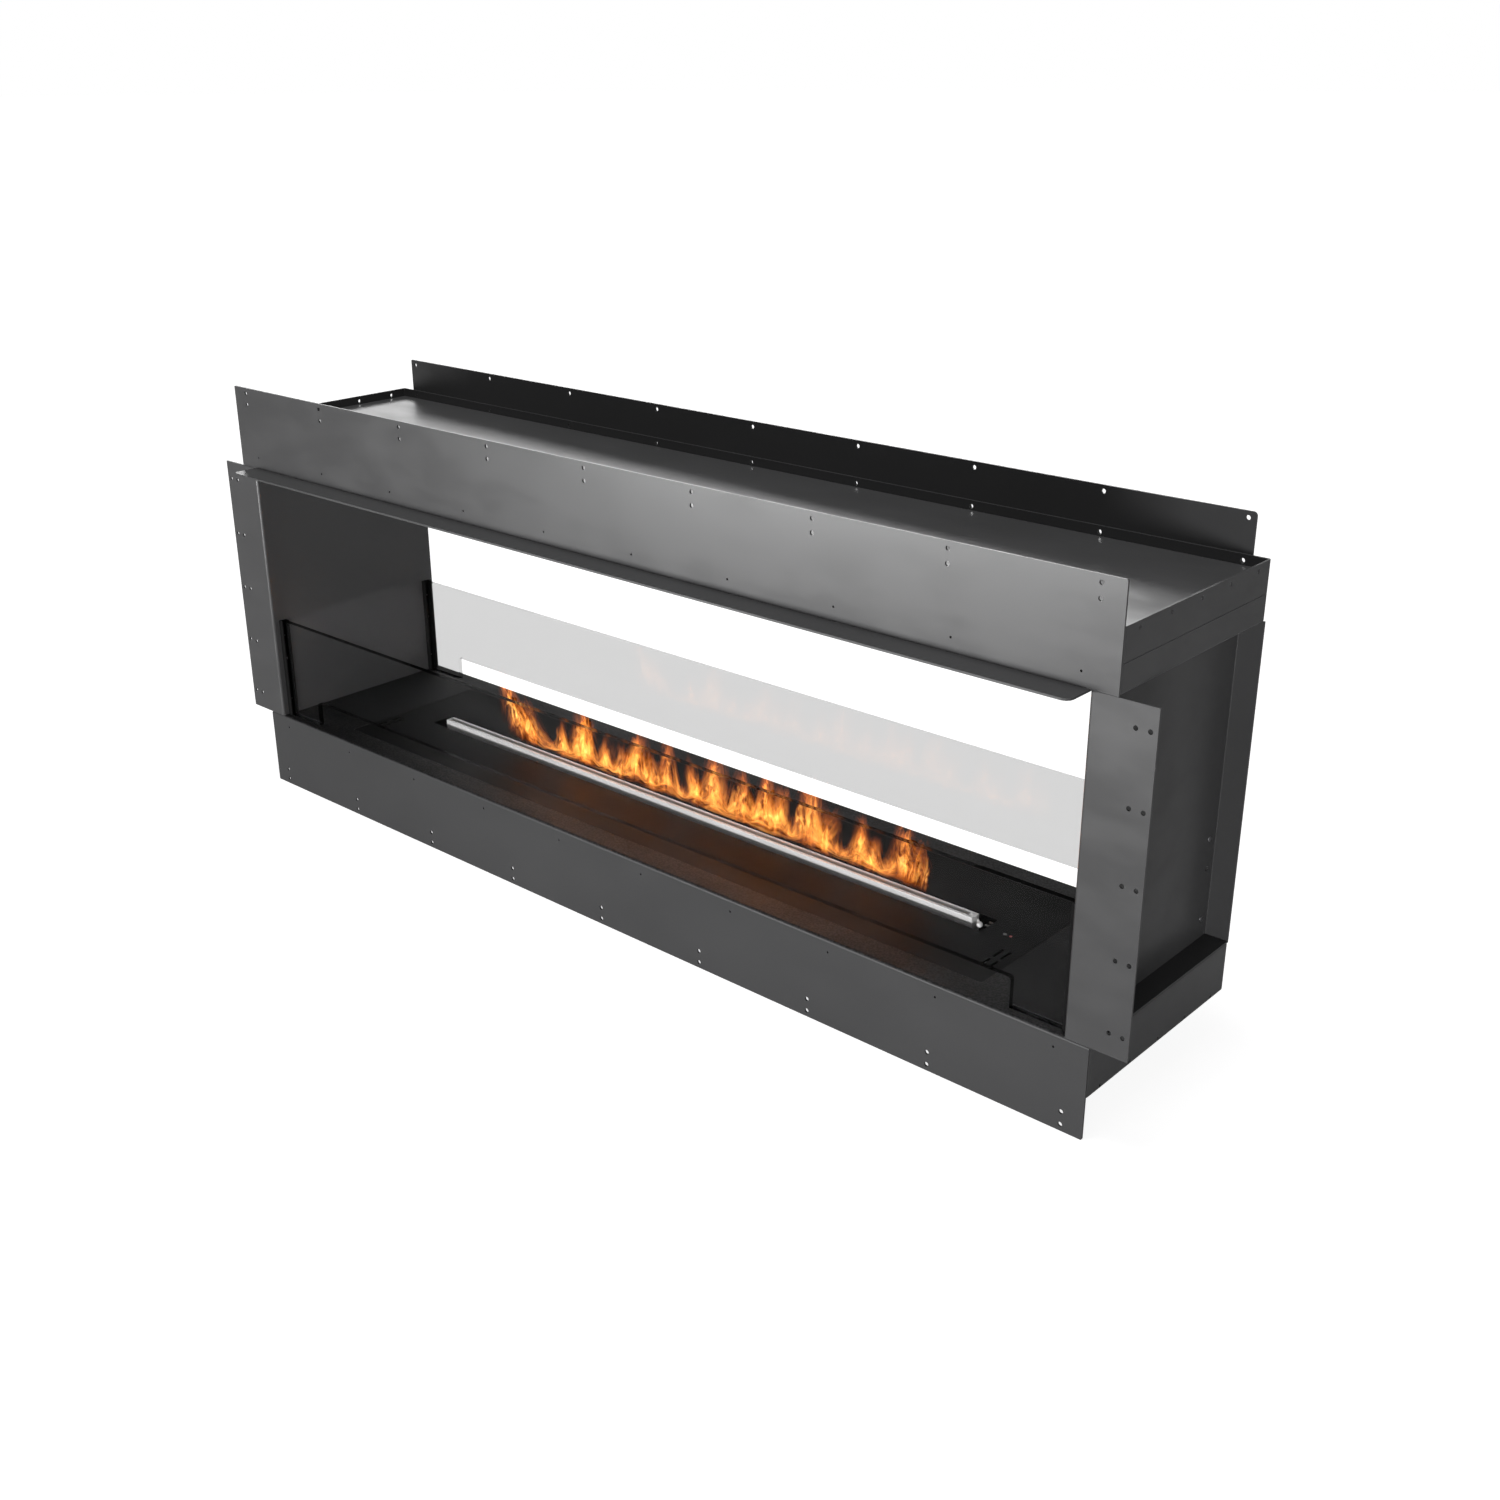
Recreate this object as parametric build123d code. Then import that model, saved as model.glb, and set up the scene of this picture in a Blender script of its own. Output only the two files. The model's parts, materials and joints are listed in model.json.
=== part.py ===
from build123d import *
import os

os.makedirs("parts", exist_ok=True)

# Double-sided built-in fireplace: a folded steel casing that is open at the front and the back,
# a lift-out burner unit in its floor, and two glass screens that stand in slots.
# The origin is the centre of the front opening, in the plane of the front frame.
# X runs along the fireplace, Y goes in from the front to the back, and Z is up.

# Casing
casing_width = 1200.0
casing_depth = 250.0
opening_height = 318.0
sheet = 2.0
fold_radius = 2.0
wall_inset = 23.5
side_flange_width = 62.0
top_flange_height = 95.0
bottom_flange_height = 94.0
flange_corner = 1.5
rear_flange_corner = 4.0
rear_flange_inset = 18.0
lip_depth = 31.0
lip_corner = 8.0
base_depth = 53.5
housing_height = 26.0
cover_height = 31.0
cover_rim = 10.0
tray_corner = 3.0
seam_round = 0.8
board_gap = 4.0

# Holes in the casing
fixing_hole = 4.6
fixing_edge = 6.5
fixing_pair_gap = 13.0
fixing_count = 9
fixing_margin = 22.4
side_fixing_count = 5
side_fixing_margin = 21.4
rear_fixing_margin = 26.0
rear_fixing_edge = 6.0
pilot_hole = 2.4
pilot_count = 10
pilot_margin = 34.7
pilot_edge = 13.4
vent_hole = 4.0
vent_count = 5
vent_margin = 25.0
rim_vent_edge = 6.0
base_vent_edge = 4.1
gauge_hole = 3.0
gauge_hole_x = 389.0
gauge_hole_pitch = 8.5
rear_slot_x = 422.0
rear_slot_length = 44.0
rear_slot_width = 3.0
rear_slot_inset = 23.0

# Glass screens and what holds them
glass = 6.0
glass_plane = 13.5
glass_height = 124.0
glass_gap_under = 30.0
glass_foot_width = 60.0
glass_foot_depth = 8.0
glass_notch_radius = 4.0
glass_corner = 2.0
glass_play = 1.0
glass_slot_play = 1.5
holder_sheet = 1.5
holder_depth = 12.0
holder_hole = 5.0
holder_hole_height = 73.0
rivet_diameter = 3.0
rivet_head = 5.6
rivet_head_thickness = 0.6
rivet_heights = (20.0, 104.0)
seat_gap = 0.3

# Burner unit
panel_inset = 30.0
panel_seam = 0.5
panel_corner = 2.0
rail_overlap = 9.0
rail_flange = 18.0
burner_length = 794.0
burner_slot = 1.0
slot_bridge = 7.0
lip_width = 8.5
lip_rise = 3.2
lip_radius = 3.0
trough_end_gap = 16.0
trough_width = 30.0
trough_depth = 14.5
trough_sheet = 1.5
trough_flange = 8.0
throat_width = 10.0
rail_end_thickness = 2.0
tank_width = 90.0
tank_height = 33.0
tank_inset = 9.0
tank_corner = 6.0
wick_width = 60.0
wick_height = 20.0
wick_end_gap = 20.0

# Vents, controls and screws on the burner unit's top plate
slot_length = 17.0
slot_width = 3.0
slot_inset = 18.0
slot_pitch_x = 8.5
slot_pitch_y = 22.0
slot_row_y = -50.0
button_inset = 7.3
light_pitch = 6.5
control_y = -4.5
button_diameter = 3.6
button_rise = 0.6
button_travel = 1.0
button_play = 0.3
button_collar = 5.0
button_collar_thickness = 1.2
light_diameter = 3.2
light_rise = 0.4
light_body = 5.0
module_gap = 12.5
module_length = 41.0
panel_margin = 1.0
module_front = -25.0
module_back = 40.0
module_height = 42.0
module_corner = 3.0
pocket_width = 15.0
pocket_length = 11.0
pocket_depth = 8.0
switch_width = 6.0
switch_knob = 2.5
switch_knob_height = 1.0
battery_height = 36.0
battery_wall = 2.0
cell_diameter = 14.0
cell_length = 50.0
cell_nub = 4.7
cell_nub_height = 1.0
screw_inset = 4.0
screw_y = 4.3
screw_head = 5.0
screw_shank = 2.6
screw_length = 9.0

# Shutter that closes the burner slot
shutter_axis_drop = 6.0
shaft_diameter = 3.0
shaft_play = 0.08
flap_thickness = 1.0
flap_play = 0.3
flap_end_gap = 1.5
crank_wire = 1.8
crank_bend = 1.5
crank_offset = 2.5
crank_rise = 8.5
knob_offset = 11.0
knob_reach = 9.0
knob_rise = 9.0
knob_diameter = 6.0

# Igniter and flame sensor
probe_level = 4.0
igniter_y = 5.0
igniter_sleeve = 3.2
igniter_sleeve_length = 18.0
igniter_tip = 1.6
igniter_tip_length = 4.0
probe_round = 0.4
sensor_y = 12.0
sensor_diameter = 2.0
sensor_length = 22.0

overrun = 2.0

# Places that follow from the sizes
end = casing_width / 2
back = casing_depth
middle = casing_depth / 2
floor = -opening_height / 2
ceiling = opening_height / 2
wall_outer = end - wall_inset
wall_inner = wall_outer - sheet
flange_end = wall_inner + side_flange_width
base_bottom = floor - base_depth
housing_top = ceiling + housing_height
cover_top = housing_top + cover_height
vent_level = cover_top - rim_vent_edge
under_floor = floor - sheet
trough_bottom = floor - trough_depth
under_trough = trough_bottom - trough_sheet
lip_top = floor + lip_rise
lip_reach = burner_slot / 2 + lip_width
glass_top = floor + glass_height
tank_bottom = under_trough - tank_height
shutter_level = floor - shutter_axis_drop
burner_end = burner_length / 2
trough_end = burner_end + trough_end_gap
tank_end = trough_end - tank_inset
module_inner = trough_end + trough_sheet + module_gap
module_outer = module_inner + module_length
panel_end = module_outer + panel_margin
slot_x = module_outer - slot_inset
button_x = module_inner + button_inset
light_x = button_x + light_pitch
screw_x = module_outer - screw_inset
foot_centre = wall_inner - holder_sheet - glass_play - glass_foot_width / 2


def block(low, high):
    """Return a box between its low and its high corner."""
    size = [b - a for a, b in zip(low, high)]
    return Pos(*low) * Box(*size, align=(Align.MIN, Align.MIN, Align.MIN))


def rod(start, direction, length, diameter):
    """Return a round bar that runs from start along direction."""
    upright = Cylinder(diameter / 2, length, align=(Align.CENTER, Align.CENTER, Align.MIN))
    return Plane(origin=start, z_dir=direction) * upright


def evenly(first, last, count):
    """Return count places from first to last, one step apart."""
    step = (last - first) / (count - 1)
    return [first + step * number for number in range(count)]


def along_casing(margin, count):
    """Return count places along the casing that start margin from each end."""
    return evenly(-end + margin, end - margin, count)


def drills_in_y(places, start, length, diameter):
    """Return one drill along Y for each (x, z) place."""
    return [rod((x, start, z), (0, 1, 0), length, diameter) for x, z in places]


def folded(points, thickness, radius):
    """Return the section of a folded sheet whose middle follows the points."""
    return trace(FilletPolyline(*points, radius=radius), thickness)


def open_tray(low, high):
    """Return a folded sheet tray between two corners, open at its top."""
    outside = block(low, high)
    outside = fillet(outside.edges().filter_by(Axis.Z), tray_corner)
    outside = fillet(outside.faces().sort_by(Axis.Z)[0].edges(), tray_corner - seam_round)
    inside = block(
        (low[0] + sheet, low[1] + sheet, low[2] + sheet),
        (high[0] - sheet, high[1] - sheet, high[2] + overrun),
    )
    inside = fillet(inside.edges().filter_by(Axis.Z), tray_corner - sheet)
    return outside - inside


def side_vents(level):
    """Return the drills of the row of small holes through both ends of the casing."""
    drills = []
    for y in evenly(vent_margin, back - vent_margin, vent_count):
        start = (-end - overrun, y, level)
        drills.append(rod(start, (1, 0, 0), casing_width + 2 * overrun, vent_hole))
    return drills


def flange_plate(half_length, start, right_corner):
    """Return the upright flange plate above an opening, with round upper corners."""
    low = (-half_length, start, ceiling)
    plate = block(low, (half_length, start + sheet, ceiling + top_flange_height))
    left, right = plate.edges().filter_by(Axis.Y).sort_by(Axis.Z)[-2:].sort_by(Axis.X)
    plate = fillet(right, right_corner)
    left = plate.edges().filter_by(Axis.Y).sort_by(Axis.X)[:2].sort_by(Axis.Z)[-1]
    return fillet(left, flange_corner)


def fixing_pairs(level, step):
    """Return the drills of a row of hole pairs along a front flange."""
    places = []
    for x in along_casing(fixing_margin, fixing_count):
        places += [(x, level), (x, level + step)]
    return drills_in_y(places, -overrun, sheet + 2 * overrun, fixing_hole)


def pilot_row(level, length):
    """Return the drills of the row of small holes along a front flange."""
    places = [(x, level) for x in along_casing(pilot_margin, pilot_count)]
    return drills_in_y(places, -overrun, length + 2 * overrun, pilot_hole)


def front_top_flange():
    """Return the tall flange above the front opening."""
    plate = flange_plate(end, 0, flange_corner)
    plate -= fixing_pairs(ceiling + top_flange_height - fixing_edge, -fixing_pair_gap)
    return plate - pilot_row(ceiling + pilot_edge, sheet)


def rear_holes():
    """Return the drills of the rear flange: one row at its top, one through the cover's rim."""
    first = end - rear_fixing_margin
    places = []
    for x in evenly(-first, first, fixing_count):
        places += [(x, ceiling + top_flange_height - rear_fixing_edge), (x, vent_level)]
    return drills_in_y(places, back - 2 * sheet - overrun, 2 * (sheet + overrun), fixing_hole)


def rear_top_flange():
    """Return the flange above the rear opening, a little shorter than the casing."""
    plate = flange_plate(end - rear_flange_inset, back - sheet, rear_flange_corner)
    return plate - rear_holes()


def upper_housing():
    """Return the open-topped tray above the ceiling that holds the heat board."""
    low = (-end, sheet, ceiling)
    high = (end, back - sheet, housing_top)
    return open_tray(low, high) - pilot_row(ceiling + pilot_edge, 2 * sheet)


def heat_board():
    """Return the mineral board that fills the upper housing."""
    margin = sheet + board_gap
    low = (-end + margin, sheet + margin, ceiling + sheet)
    high = (end - margin, back - sheet - margin, housing_top - sheet)
    return block(low, high)


def top_cover():
    """Return the closed top: a skirt, a deck and a rim that stands up around it."""
    low = (-end, sheet, housing_top)
    high = (end, back - sheet, cover_top)
    skirt = block(low, high)
    skirt = fillet(skirt.edges().filter_by(Axis.Z), tray_corner)
    skirt = fillet(skirt.faces().sort_by(Axis.Z)[0].edges(), seam_round)
    inner_low = (low[0] + sheet, low[1] + sheet)
    inner_high = (high[0] - sheet, high[1] - sheet)
    deck = cover_top - cover_rim
    rooms = [(housing_top - overrun, deck - sheet), (deck, cover_top + overrun)]
    for bottom, top in rooms:
        room = block((*inner_low, bottom), (*inner_high, top))
        skirt -= fillet(room.edges().filter_by(Axis.Z), tray_corner - sheet)
    return skirt - side_vents(vent_level) - rear_holes()


def ceiling_plate():
    """Return the flat ceiling, whose edges stand out as a lip at both openings."""
    half = wall_inner - seat_gap
    plate = block((-half, -lip_depth, ceiling - sheet), (half, back + lip_depth, ceiling))
    return fillet(plate.edges().filter_by(Axis.Z), lip_corner)


def wall_fixings():
    """Return the drills of the hole pairs in the right side flange."""
    places = []
    first = floor + side_fixing_margin
    for z in evenly(first, ceiling - side_fixing_margin, side_fixing_count):
        outer = flange_end - fixing_edge
        places += [(outer, z), (outer - fixing_pair_gap, z)]
    return drills_in_y(places, -overrun, sheet + 2 * overrun, fixing_hole)


def holder_fixings():
    """Return the drills through the right side wall behind both glass holders."""
    drills = []
    for y in (glass_plane, back - glass_plane):
        for height in rivet_heights:
            start = (wall_inner - overrun, y, floor + height)
            drills.append(rod(start, (1, 0, 0), sheet + 2 * overrun, rivet_diameter))
        start = (wall_inner - overrun, y, floor + holder_hole_height)
        drills.append(rod(start, (1, 0, 0), sheet + 2 * overrun, holder_hole))
    return drills


def side_wall():
    """Return the right side wall, folded outwards at the front and at the back."""
    half = sheet / 2
    points = [
        (flange_end, half),
        (wall_inner + half, half),
        (wall_inner + half, back - half),
        (end, back - half),
    ]
    section = Pos(0, 0, floor) * folded(points, sheet, fold_radius)
    wall = extrude(section, opening_height - seat_gap)
    return wall - wall_fixings() - holder_fixings()


def floor_openings():
    """Return what is cut out of the floor: the burner opening, glass slots and rear holes."""
    depth = sheet + 2 * overrun
    bottom = under_floor - overrun
    half = panel_end + panel_seam
    low = (-half, panel_inset, bottom)
    burner_opening = block(low, (half, back - panel_inset, bottom + depth))
    cuts = [fillet(burner_opening.edges().filter_by(Axis.Z), panel_corner)]
    slot_half_width = (glass + glass_slot_play) / 2
    for x in (-foot_centre, foot_centre):
        for y in (glass_plane, back - glass_plane):
            half = glass_foot_width / 2 + glass_play / 2
            low = (x - half, y - slot_half_width, bottom)
            cuts.append(block(low, (x + half, y + slot_half_width, bottom + depth)))
    y = back - rear_slot_inset
    for x in (gauge_hole_x, gauge_hole_x + gauge_hole_pitch):
        cuts.append(rod((x, y, bottom), (0, 0, 1), depth, gauge_hole))
    low = (rear_slot_x, y - rear_slot_width / 2, bottom)
    high = (rear_slot_x + rear_slot_length, y + rear_slot_width / 2, bottom + depth)
    cuts.append(block(low, high))
    return cuts


def floor_frame():
    """Return the floor sheet, folded down at the front into the bottom flange."""
    half = sheet / 2
    bottom = floor - bottom_flange_height
    points = [(back, floor - half), (half, floor - half), (half, bottom)]
    section_plane = Plane(origin=(-end, 0, 0), x_dir=(0, 1, 0), z_dir=(1, 0, 0))
    frame = extrude(section_plane * folded(points, sheet, fold_radius), casing_width)
    corners = frame.edges().filter_by(Axis.Y).sort_by(Axis.Z)[:2]
    frame = fillet(corners, flange_corner)
    frame -= floor_openings()
    frame -= fixing_pairs(bottom + fixing_edge, fixing_pair_gap)
    return frame - pilot_row(floor - pilot_edge, sheet)


def base_tray():
    """Return the shallow box under the floor that the burner unit hangs in."""
    tray = open_tray((-end, sheet, base_bottom), (end, back, under_floor))
    rim_edges = tray.edges().filter_by(Axis.X).group_by(Axis.Z)[-1]
    tray = chamfer(rim_edges.sort_by(Axis.Y)[0], fold_radius - sheet / 2)
    tray -= pilot_row(floor - pilot_edge, 2 * sheet)
    return tray - side_vents(base_bottom + base_vent_edge)


def panel_rail():
    """Return the front angle that carries the edge of the burner unit's top plate."""
    half = sheet / 2
    start = panel_inset + rail_overlap
    points = [
        (start, under_floor - half),
        (start - rail_flange, under_floor - half),
        (start - rail_flange, base_bottom + sheet),
    ]
    length = 2 * (panel_end - rail_overlap)
    section_plane = Plane(origin=(-length / 2, 0, 0), x_dir=(0, 1, 0), z_dir=(1, 0, 0))
    return extrude(section_plane * folded(points, sheet, fold_radius), length)


def glass_holder():
    """Return the upright channel on the right wall that guides the front glass."""
    half = holder_sheet / 2
    reach = (glass + glass_slot_play) / 2 + half
    inner = wall_inner - holder_depth
    points = [
        (inner, glass_plane - reach),
        (wall_inner - half, glass_plane - reach),
        (wall_inner - half, glass_plane + reach),
        (inner, glass_plane + reach),
    ]
    channel = extrude(Pos(0, 0, floor) * folded(points, holder_sheet, half + seat_gap), glass_height)
    for drill in holder_fixings():
        channel -= Pos(-holder_sheet, 0, 0) * drill
    return channel


def rivet(side, y, height):
    """Return one rivet through a glass holder and a side wall, its head outside."""
    out = (side, 0, 0)
    start = (side * (wall_inner - holder_sheet), y, floor + height)
    shank = rod(start, out, holder_sheet + sheet, rivet_diameter)
    head = rod((side * wall_outer, y, floor + height), out, rivet_head_thickness, rivet_head)
    outer_edge = head.edges().sort_by(Axis.X)[-1 if side > 0 else 0]
    return shank + chamfer(outer_edge, rivet_head_thickness / 2)


def holder_rivets():
    """Return the two rivets of each of the four glass holders."""
    rivets = []
    for side in (-1, 1):
        for y in (glass_plane, back - glass_plane):
            for height in rivet_heights:
                rivets.append(rivet(side, y, height))
    return Compound(rivets)


def foot_pocket(x, y):
    """Return the channel under a glass slot that the foot of the glass stands in."""
    half = holder_sheet / 2
    reach = (glass + glass_slot_play) / 2 + half
    bottom = floor - glass_foot_depth - seat_gap - half
    points = [(y - reach, under_floor), (y - reach, bottom), (y + reach, bottom), (y + reach, under_floor)]
    length = glass_foot_width + glass_play
    section_plane = Plane(origin=(x - length / 2, 0, 0), x_dir=(0, 1, 0), z_dir=(1, 0, 0))
    return extrude(section_plane * folded(points, holder_sheet, half + seat_gap), length)


def foot_pockets():
    """Return the four pockets that carry the feet of the two glasses."""
    pockets = []
    for x in (-foot_centre, foot_centre):
        for y in (glass_plane, back - glass_plane):
            pockets.append(foot_pocket(x, y))
    return Compound(pockets)


def front_glass():
    """Return the front glass screen, raised between two feet so that air passes under it."""
    half = wall_inner - holder_sheet - glass_play
    step = half - glass_foot_width
    raised = floor + glass_gap_under
    foot = floor - glass_foot_depth
    outline = Polyline(
        (-half, foot),
        (-step, foot),
        (-step, raised),
        (step, raised),
        (step, foot),
        (half, foot),
        (half, glass_top),
        (-half, glass_top),
        close=True,
    )
    section_plane = Plane(origin=(0, glass_plane + glass / 2, 0), x_dir=(1, 0, 0), z_dir=(0, -1, 0))
    pane = extrude(section_plane * make_face(outline), glass)
    upright = pane.edges().filter_by(Axis.Y)
    notches = [edge for edge in upright if abs(edge.center().Z - raised) < seat_gap]
    pane = fillet(notches, glass_notch_radius)
    top_edges = pane.edges().filter_by(Axis.Y).sort_by(Axis.Z)[-2:]
    return fillet(top_edges, glass_corner)


def vent_slots():
    """Return the four air slots near each end of the burner unit's top plate."""
    bottom = under_floor - overrun
    half = slot_width / 2
    cuts = []
    for side in (-1, 1):
        for column in (slot_x, slot_x + slot_pitch_x):
            for row in (-1, 1):
                x = side * column
                y = middle + slot_row_y + row * slot_pitch_y / 2
                low = (x - half, y - slot_length / 2, bottom)
                cuts.append(block(low, (x + half, y + slot_length / 2, floor + overrun)))
    return cuts


def screw_places():
    """Return where the two countersunk screws of the top plate sit."""
    return [(side * screw_x, middle + screw_y) for side in (-1, 1)]


def screw(x, y):
    """Return one countersunk screw, its head flush with the top plate."""
    sink = screw_head / 2 - screw_shank / 2
    head = Pos(x, y, floor - sink / 2) * Cone(screw_shank / 2, screw_head / 2, sink)
    return head + rod((x, y, floor - screw_length), (0, 0, 1), screw_length, screw_shank)


def panel_screws():
    """Return the screws that hold the control module and the battery pack."""
    return Compound([screw(x, y) for x, y in screw_places()])


def burner_top_plate():
    """Return the plate that lies flush in the floor and carries the whole burner unit."""
    low = (-panel_end, panel_inset + panel_seam, under_floor)
    high = (panel_end, back - panel_inset - panel_seam, floor)
    plate = block(low, high)
    plate = fillet(plate.edges().filter_by(Axis.Z), panel_corner)
    half = trough_width / 2
    mouth = block(
        (-trough_end, middle - half, under_floor - overrun),
        (trough_end, middle + half, floor + overrun),
    )
    plate -= fillet(mouth.edges().filter_by(Axis.Z), panel_corner)
    plate -= vent_slots()
    depth = sheet + 2 * overrun
    bottom = under_floor - overrun
    y = middle + control_y
    plate -= rod((button_x, y, bottom), (0, 0, 1), depth, button_diameter + 2 * button_play)
    plate -= rod((light_x, y, bottom), (0, 0, 1), depth, light_diameter)
    for x, screw_place in screw_places():
        plate -= screw(x, screw_place)
    return plate


def throat(top, depth):
    """Return the cut of the long throat between the burner lips and the tank."""
    half = burner_end - 2 * rail_end_thickness
    low = (-half, middle - throat_width / 2, top - depth)
    return block(low, (half, middle + throat_width / 2, top + overrun))


def burner_trough():
    """Return the black channel around the burner lips, with flanges under the top plate."""
    half = trough_width / 2
    wall = trough_sheet
    outside = block(
        (-trough_end - wall, middle - half - wall, under_trough),
        (trough_end + wall, middle + half + wall, under_floor),
    )
    flanges = block(
        (-trough_end, middle - half - trough_flange, under_floor - wall),
        (trough_end, middle + half + trough_flange, under_floor),
    )
    inside = block(
        (-trough_end, middle - half, trough_bottom),
        (trough_end, middle + half, under_floor + overrun),
    )
    inside = fillet(inside.edges().filter_by(Axis.Z), panel_corner)
    trough = outside + flanges - inside - throat(trough_bottom, wall + overrun)
    for y, diameter in ((igniter_y, igniter_sleeve), (sensor_y, sensor_diameter)):
        start = (trough_end - overrun, middle + y, floor - probe_level)
        trough -= rod(start, (1, 0, 0), wall + 2 * overrun, diameter)
    return trough


def burner_lip():
    """Return the bright front lip of the burner slot, folded with a round shoulder."""
    half = sheet / 2
    edge = middle - burner_slot / 2
    outer = middle - lip_reach + half
    points = [(outer, trough_bottom), (outer, lip_top - half), (edge, lip_top - half)]
    section_plane = Plane(origin=(-burner_end, 0, 0), x_dir=(0, 1, 0), z_dir=(1, 0, 0))
    return extrude(section_plane * folded(points, sheet, lip_radius), burner_length)


def rail_end():
    """Return the right end plate of the lips, with the shaft's bore and the slot's bridge."""
    reach = lip_reach - sheet
    start = burner_end - rail_end_thickness
    top = lip_top - sheet - seat_gap
    plate = block((start, middle - reach, trough_bottom), (burner_end, middle + reach, top))
    upper_edges = plate.edges().filter_by(Axis.X).sort_by(Axis.Z)[-2:]
    plate = fillet(upper_edges, lip_radius)
    near = middle - burner_slot / 2
    bridge_corner = (burner_end, middle + burner_slot / 2, lip_top)
    plate += block((start, near, top), bridge_corner)
    plate += block((burner_end - slot_bridge, near, lip_top - sheet), bridge_corner)
    bore_start = (start - overrun, middle, shutter_level)
    bore_length = rail_end_thickness + 2 * overrun
    return plate - rod(bore_start, (1, 0, 0), bore_length, shaft_diameter + 2 * shaft_play)


def fuel_tank():
    """Return the closed fuel tank under the trough, open only at the burner's throat."""
    half = tank_width / 2
    low = (-tank_end, middle - half, tank_bottom)
    high = (tank_end, middle + half, under_trough)
    tank = block(low, high)
    tank = fillet(tank.edges().filter_by(Axis.X).sort_by(Axis.Z)[:2], tank_corner)
    wall = trough_sheet
    room = block(
        (low[0] + wall, low[1] + wall, low[2] + wall),
        (high[0] - wall, high[1] - wall, high[2] - wall),
    )
    room = fillet(room.edges().filter_by(Axis.X).sort_by(Axis.Z)[:2], tank_corner - wall)
    return tank - room - throat(under_trough, wall + overrun)


def wick_block():
    """Return the ceramic wool that soaks up the fuel in the tank."""
    half = tank_end - trough_sheet - wick_end_gap
    bottom = tank_bottom + trough_sheet
    low = (-half, middle - wick_width / 2, bottom)
    return block(low, (half, middle + wick_width / 2, bottom + wick_height))


def shutter_flap():
    """Return the flap and its shaft, which turn between the lips to close the slot."""
    half_length = burner_end - rail_end_thickness - flap_end_gap
    half_width = lip_reach - sheet - flap_play
    low = (-half_length, middle - flap_thickness / 2, shutter_level - half_width)
    high = (half_length, middle + flap_thickness / 2, shutter_level + half_width)
    start = (-burner_end, middle, shutter_level)
    return block(low, high) + rod(start, (1, 0, 0), burner_length, shaft_diameter)


def shutter_crank():
    """Return the bent wire crank at the right end of the shaft, with its ball."""
    bend_x = burner_end + crank_offset
    ball = (burner_end + knob_offset, middle - knob_reach, shutter_level + knob_rise)
    path = FilletPolyline(
        (burner_end, middle, shutter_level),
        (bend_x, middle, shutter_level),
        (bend_x, middle, shutter_level + crank_rise),
        ball,
        radius=crank_bend,
    )
    start = Plane(origin=(burner_end, middle, shutter_level), z_dir=(1, 0, 0))
    wire = sweep(start * Circle(crank_wire / 2), path=path)
    return wire + Pos(*ball) * Sphere(knob_diameter / 2)


def igniter():
    """Return the hot-tip igniter: a ceramic sleeve with a thin metal tip."""
    tip_end = module_inner - igniter_sleeve_length
    start = (tip_end, middle + igniter_y, floor - probe_level)
    sleeve = rod(start, (1, 0, 0), igniter_sleeve_length, igniter_sleeve)
    sleeve = chamfer(sleeve.edges().sort_by(Axis.X)[0], probe_round)
    tip = rod(start, (-1, 0, 0), igniter_tip_length, igniter_tip)
    return sleeve + chamfer(tip.edges().sort_by(Axis.X)[0], probe_round)


def flame_sensor():
    """Return the round probe that feels the flame at the end of the slot."""
    start = (module_inner - sensor_length, middle + sensor_y, floor - probe_level)
    probe = rod(start, (1, 0, 0), sensor_length, sensor_diameter)
    return chamfer(probe.edges().sort_by(Axis.X)[0], probe_round)


def control_pocket():
    """Return the recess under the button and the light in the top of the module."""
    x = (button_x + light_x) / 2
    y = middle + control_y
    low = (x - pocket_width / 2, y - pocket_length / 2, under_floor - pocket_depth)
    return block(low, (x + pocket_width / 2, y + pocket_length / 2, under_floor + overrun))


def control_module():
    """Return the electronics box under the right end of the top plate."""
    low = (module_inner, middle + module_front, under_floor - module_height)
    box = block(low, (module_outer, middle + module_back, under_floor))
    box = fillet(box.edges().filter_by(Axis.Z), module_corner)
    box = fillet(box.faces().sort_by(Axis.Z)[0].edges(), module_corner / 2)
    return box - control_pocket() - screw(*screw_places()[1])


def button_switch():
    """Return the small push switch under the start button."""
    pocket_floor = under_floor - pocket_depth
    knob_top = under_floor - seat_gap - button_collar_thickness - button_travel - seat_gap
    half = switch_width / 2
    y = middle + control_y
    case_top = knob_top - switch_knob_height
    case = block((button_x - half, y - half, pocket_floor), (button_x + half, y + half, case_top))
    return case + rod((button_x, y, case_top), (0, 0, 1), switch_knob_height, switch_knob)


def battery_case():
    """Return the battery case under the left end of the top plate, open underneath."""
    low = (-module_outer, middle + module_front, under_floor - battery_height)
    high = (-module_inner, middle + module_back, under_floor)
    case = block(low, high)
    case = fillet(case.edges().filter_by(Axis.Z), module_corner)
    wall = battery_wall
    room = block(
        (low[0] + module_corner + screw_head, low[1] + wall, low[2] - overrun),
        (high[0] - wall, high[1] - wall, high[2] - wall),
    )
    return case - room - screw(*screw_places()[0])


def battery_cells():
    """Return the four round cells, side by side and one above the other."""
    centre_y = middle + (module_front + module_back) / 2
    right = -module_inner - battery_wall - cell_diameter / 2
    top = under_floor - battery_wall - cell_diameter / 2
    cells = []
    for column in (0, 1):
        for row in (0, 1):
            x = right - column * cell_diameter
            z = top - row * cell_diameter
            cells.append(cell(x, centre_y - cell_length / 2, z))
    return Compound(cells)


def cell(x, y, z):
    """Return one round cell with the small contact at its end."""
    body = rod((x, y, z), (0, 1, 0), cell_length, cell_diameter - seat_gap)
    return body + rod((x, y + cell_length, z), (0, 1, 0), cell_nub_height, cell_nub)


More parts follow.
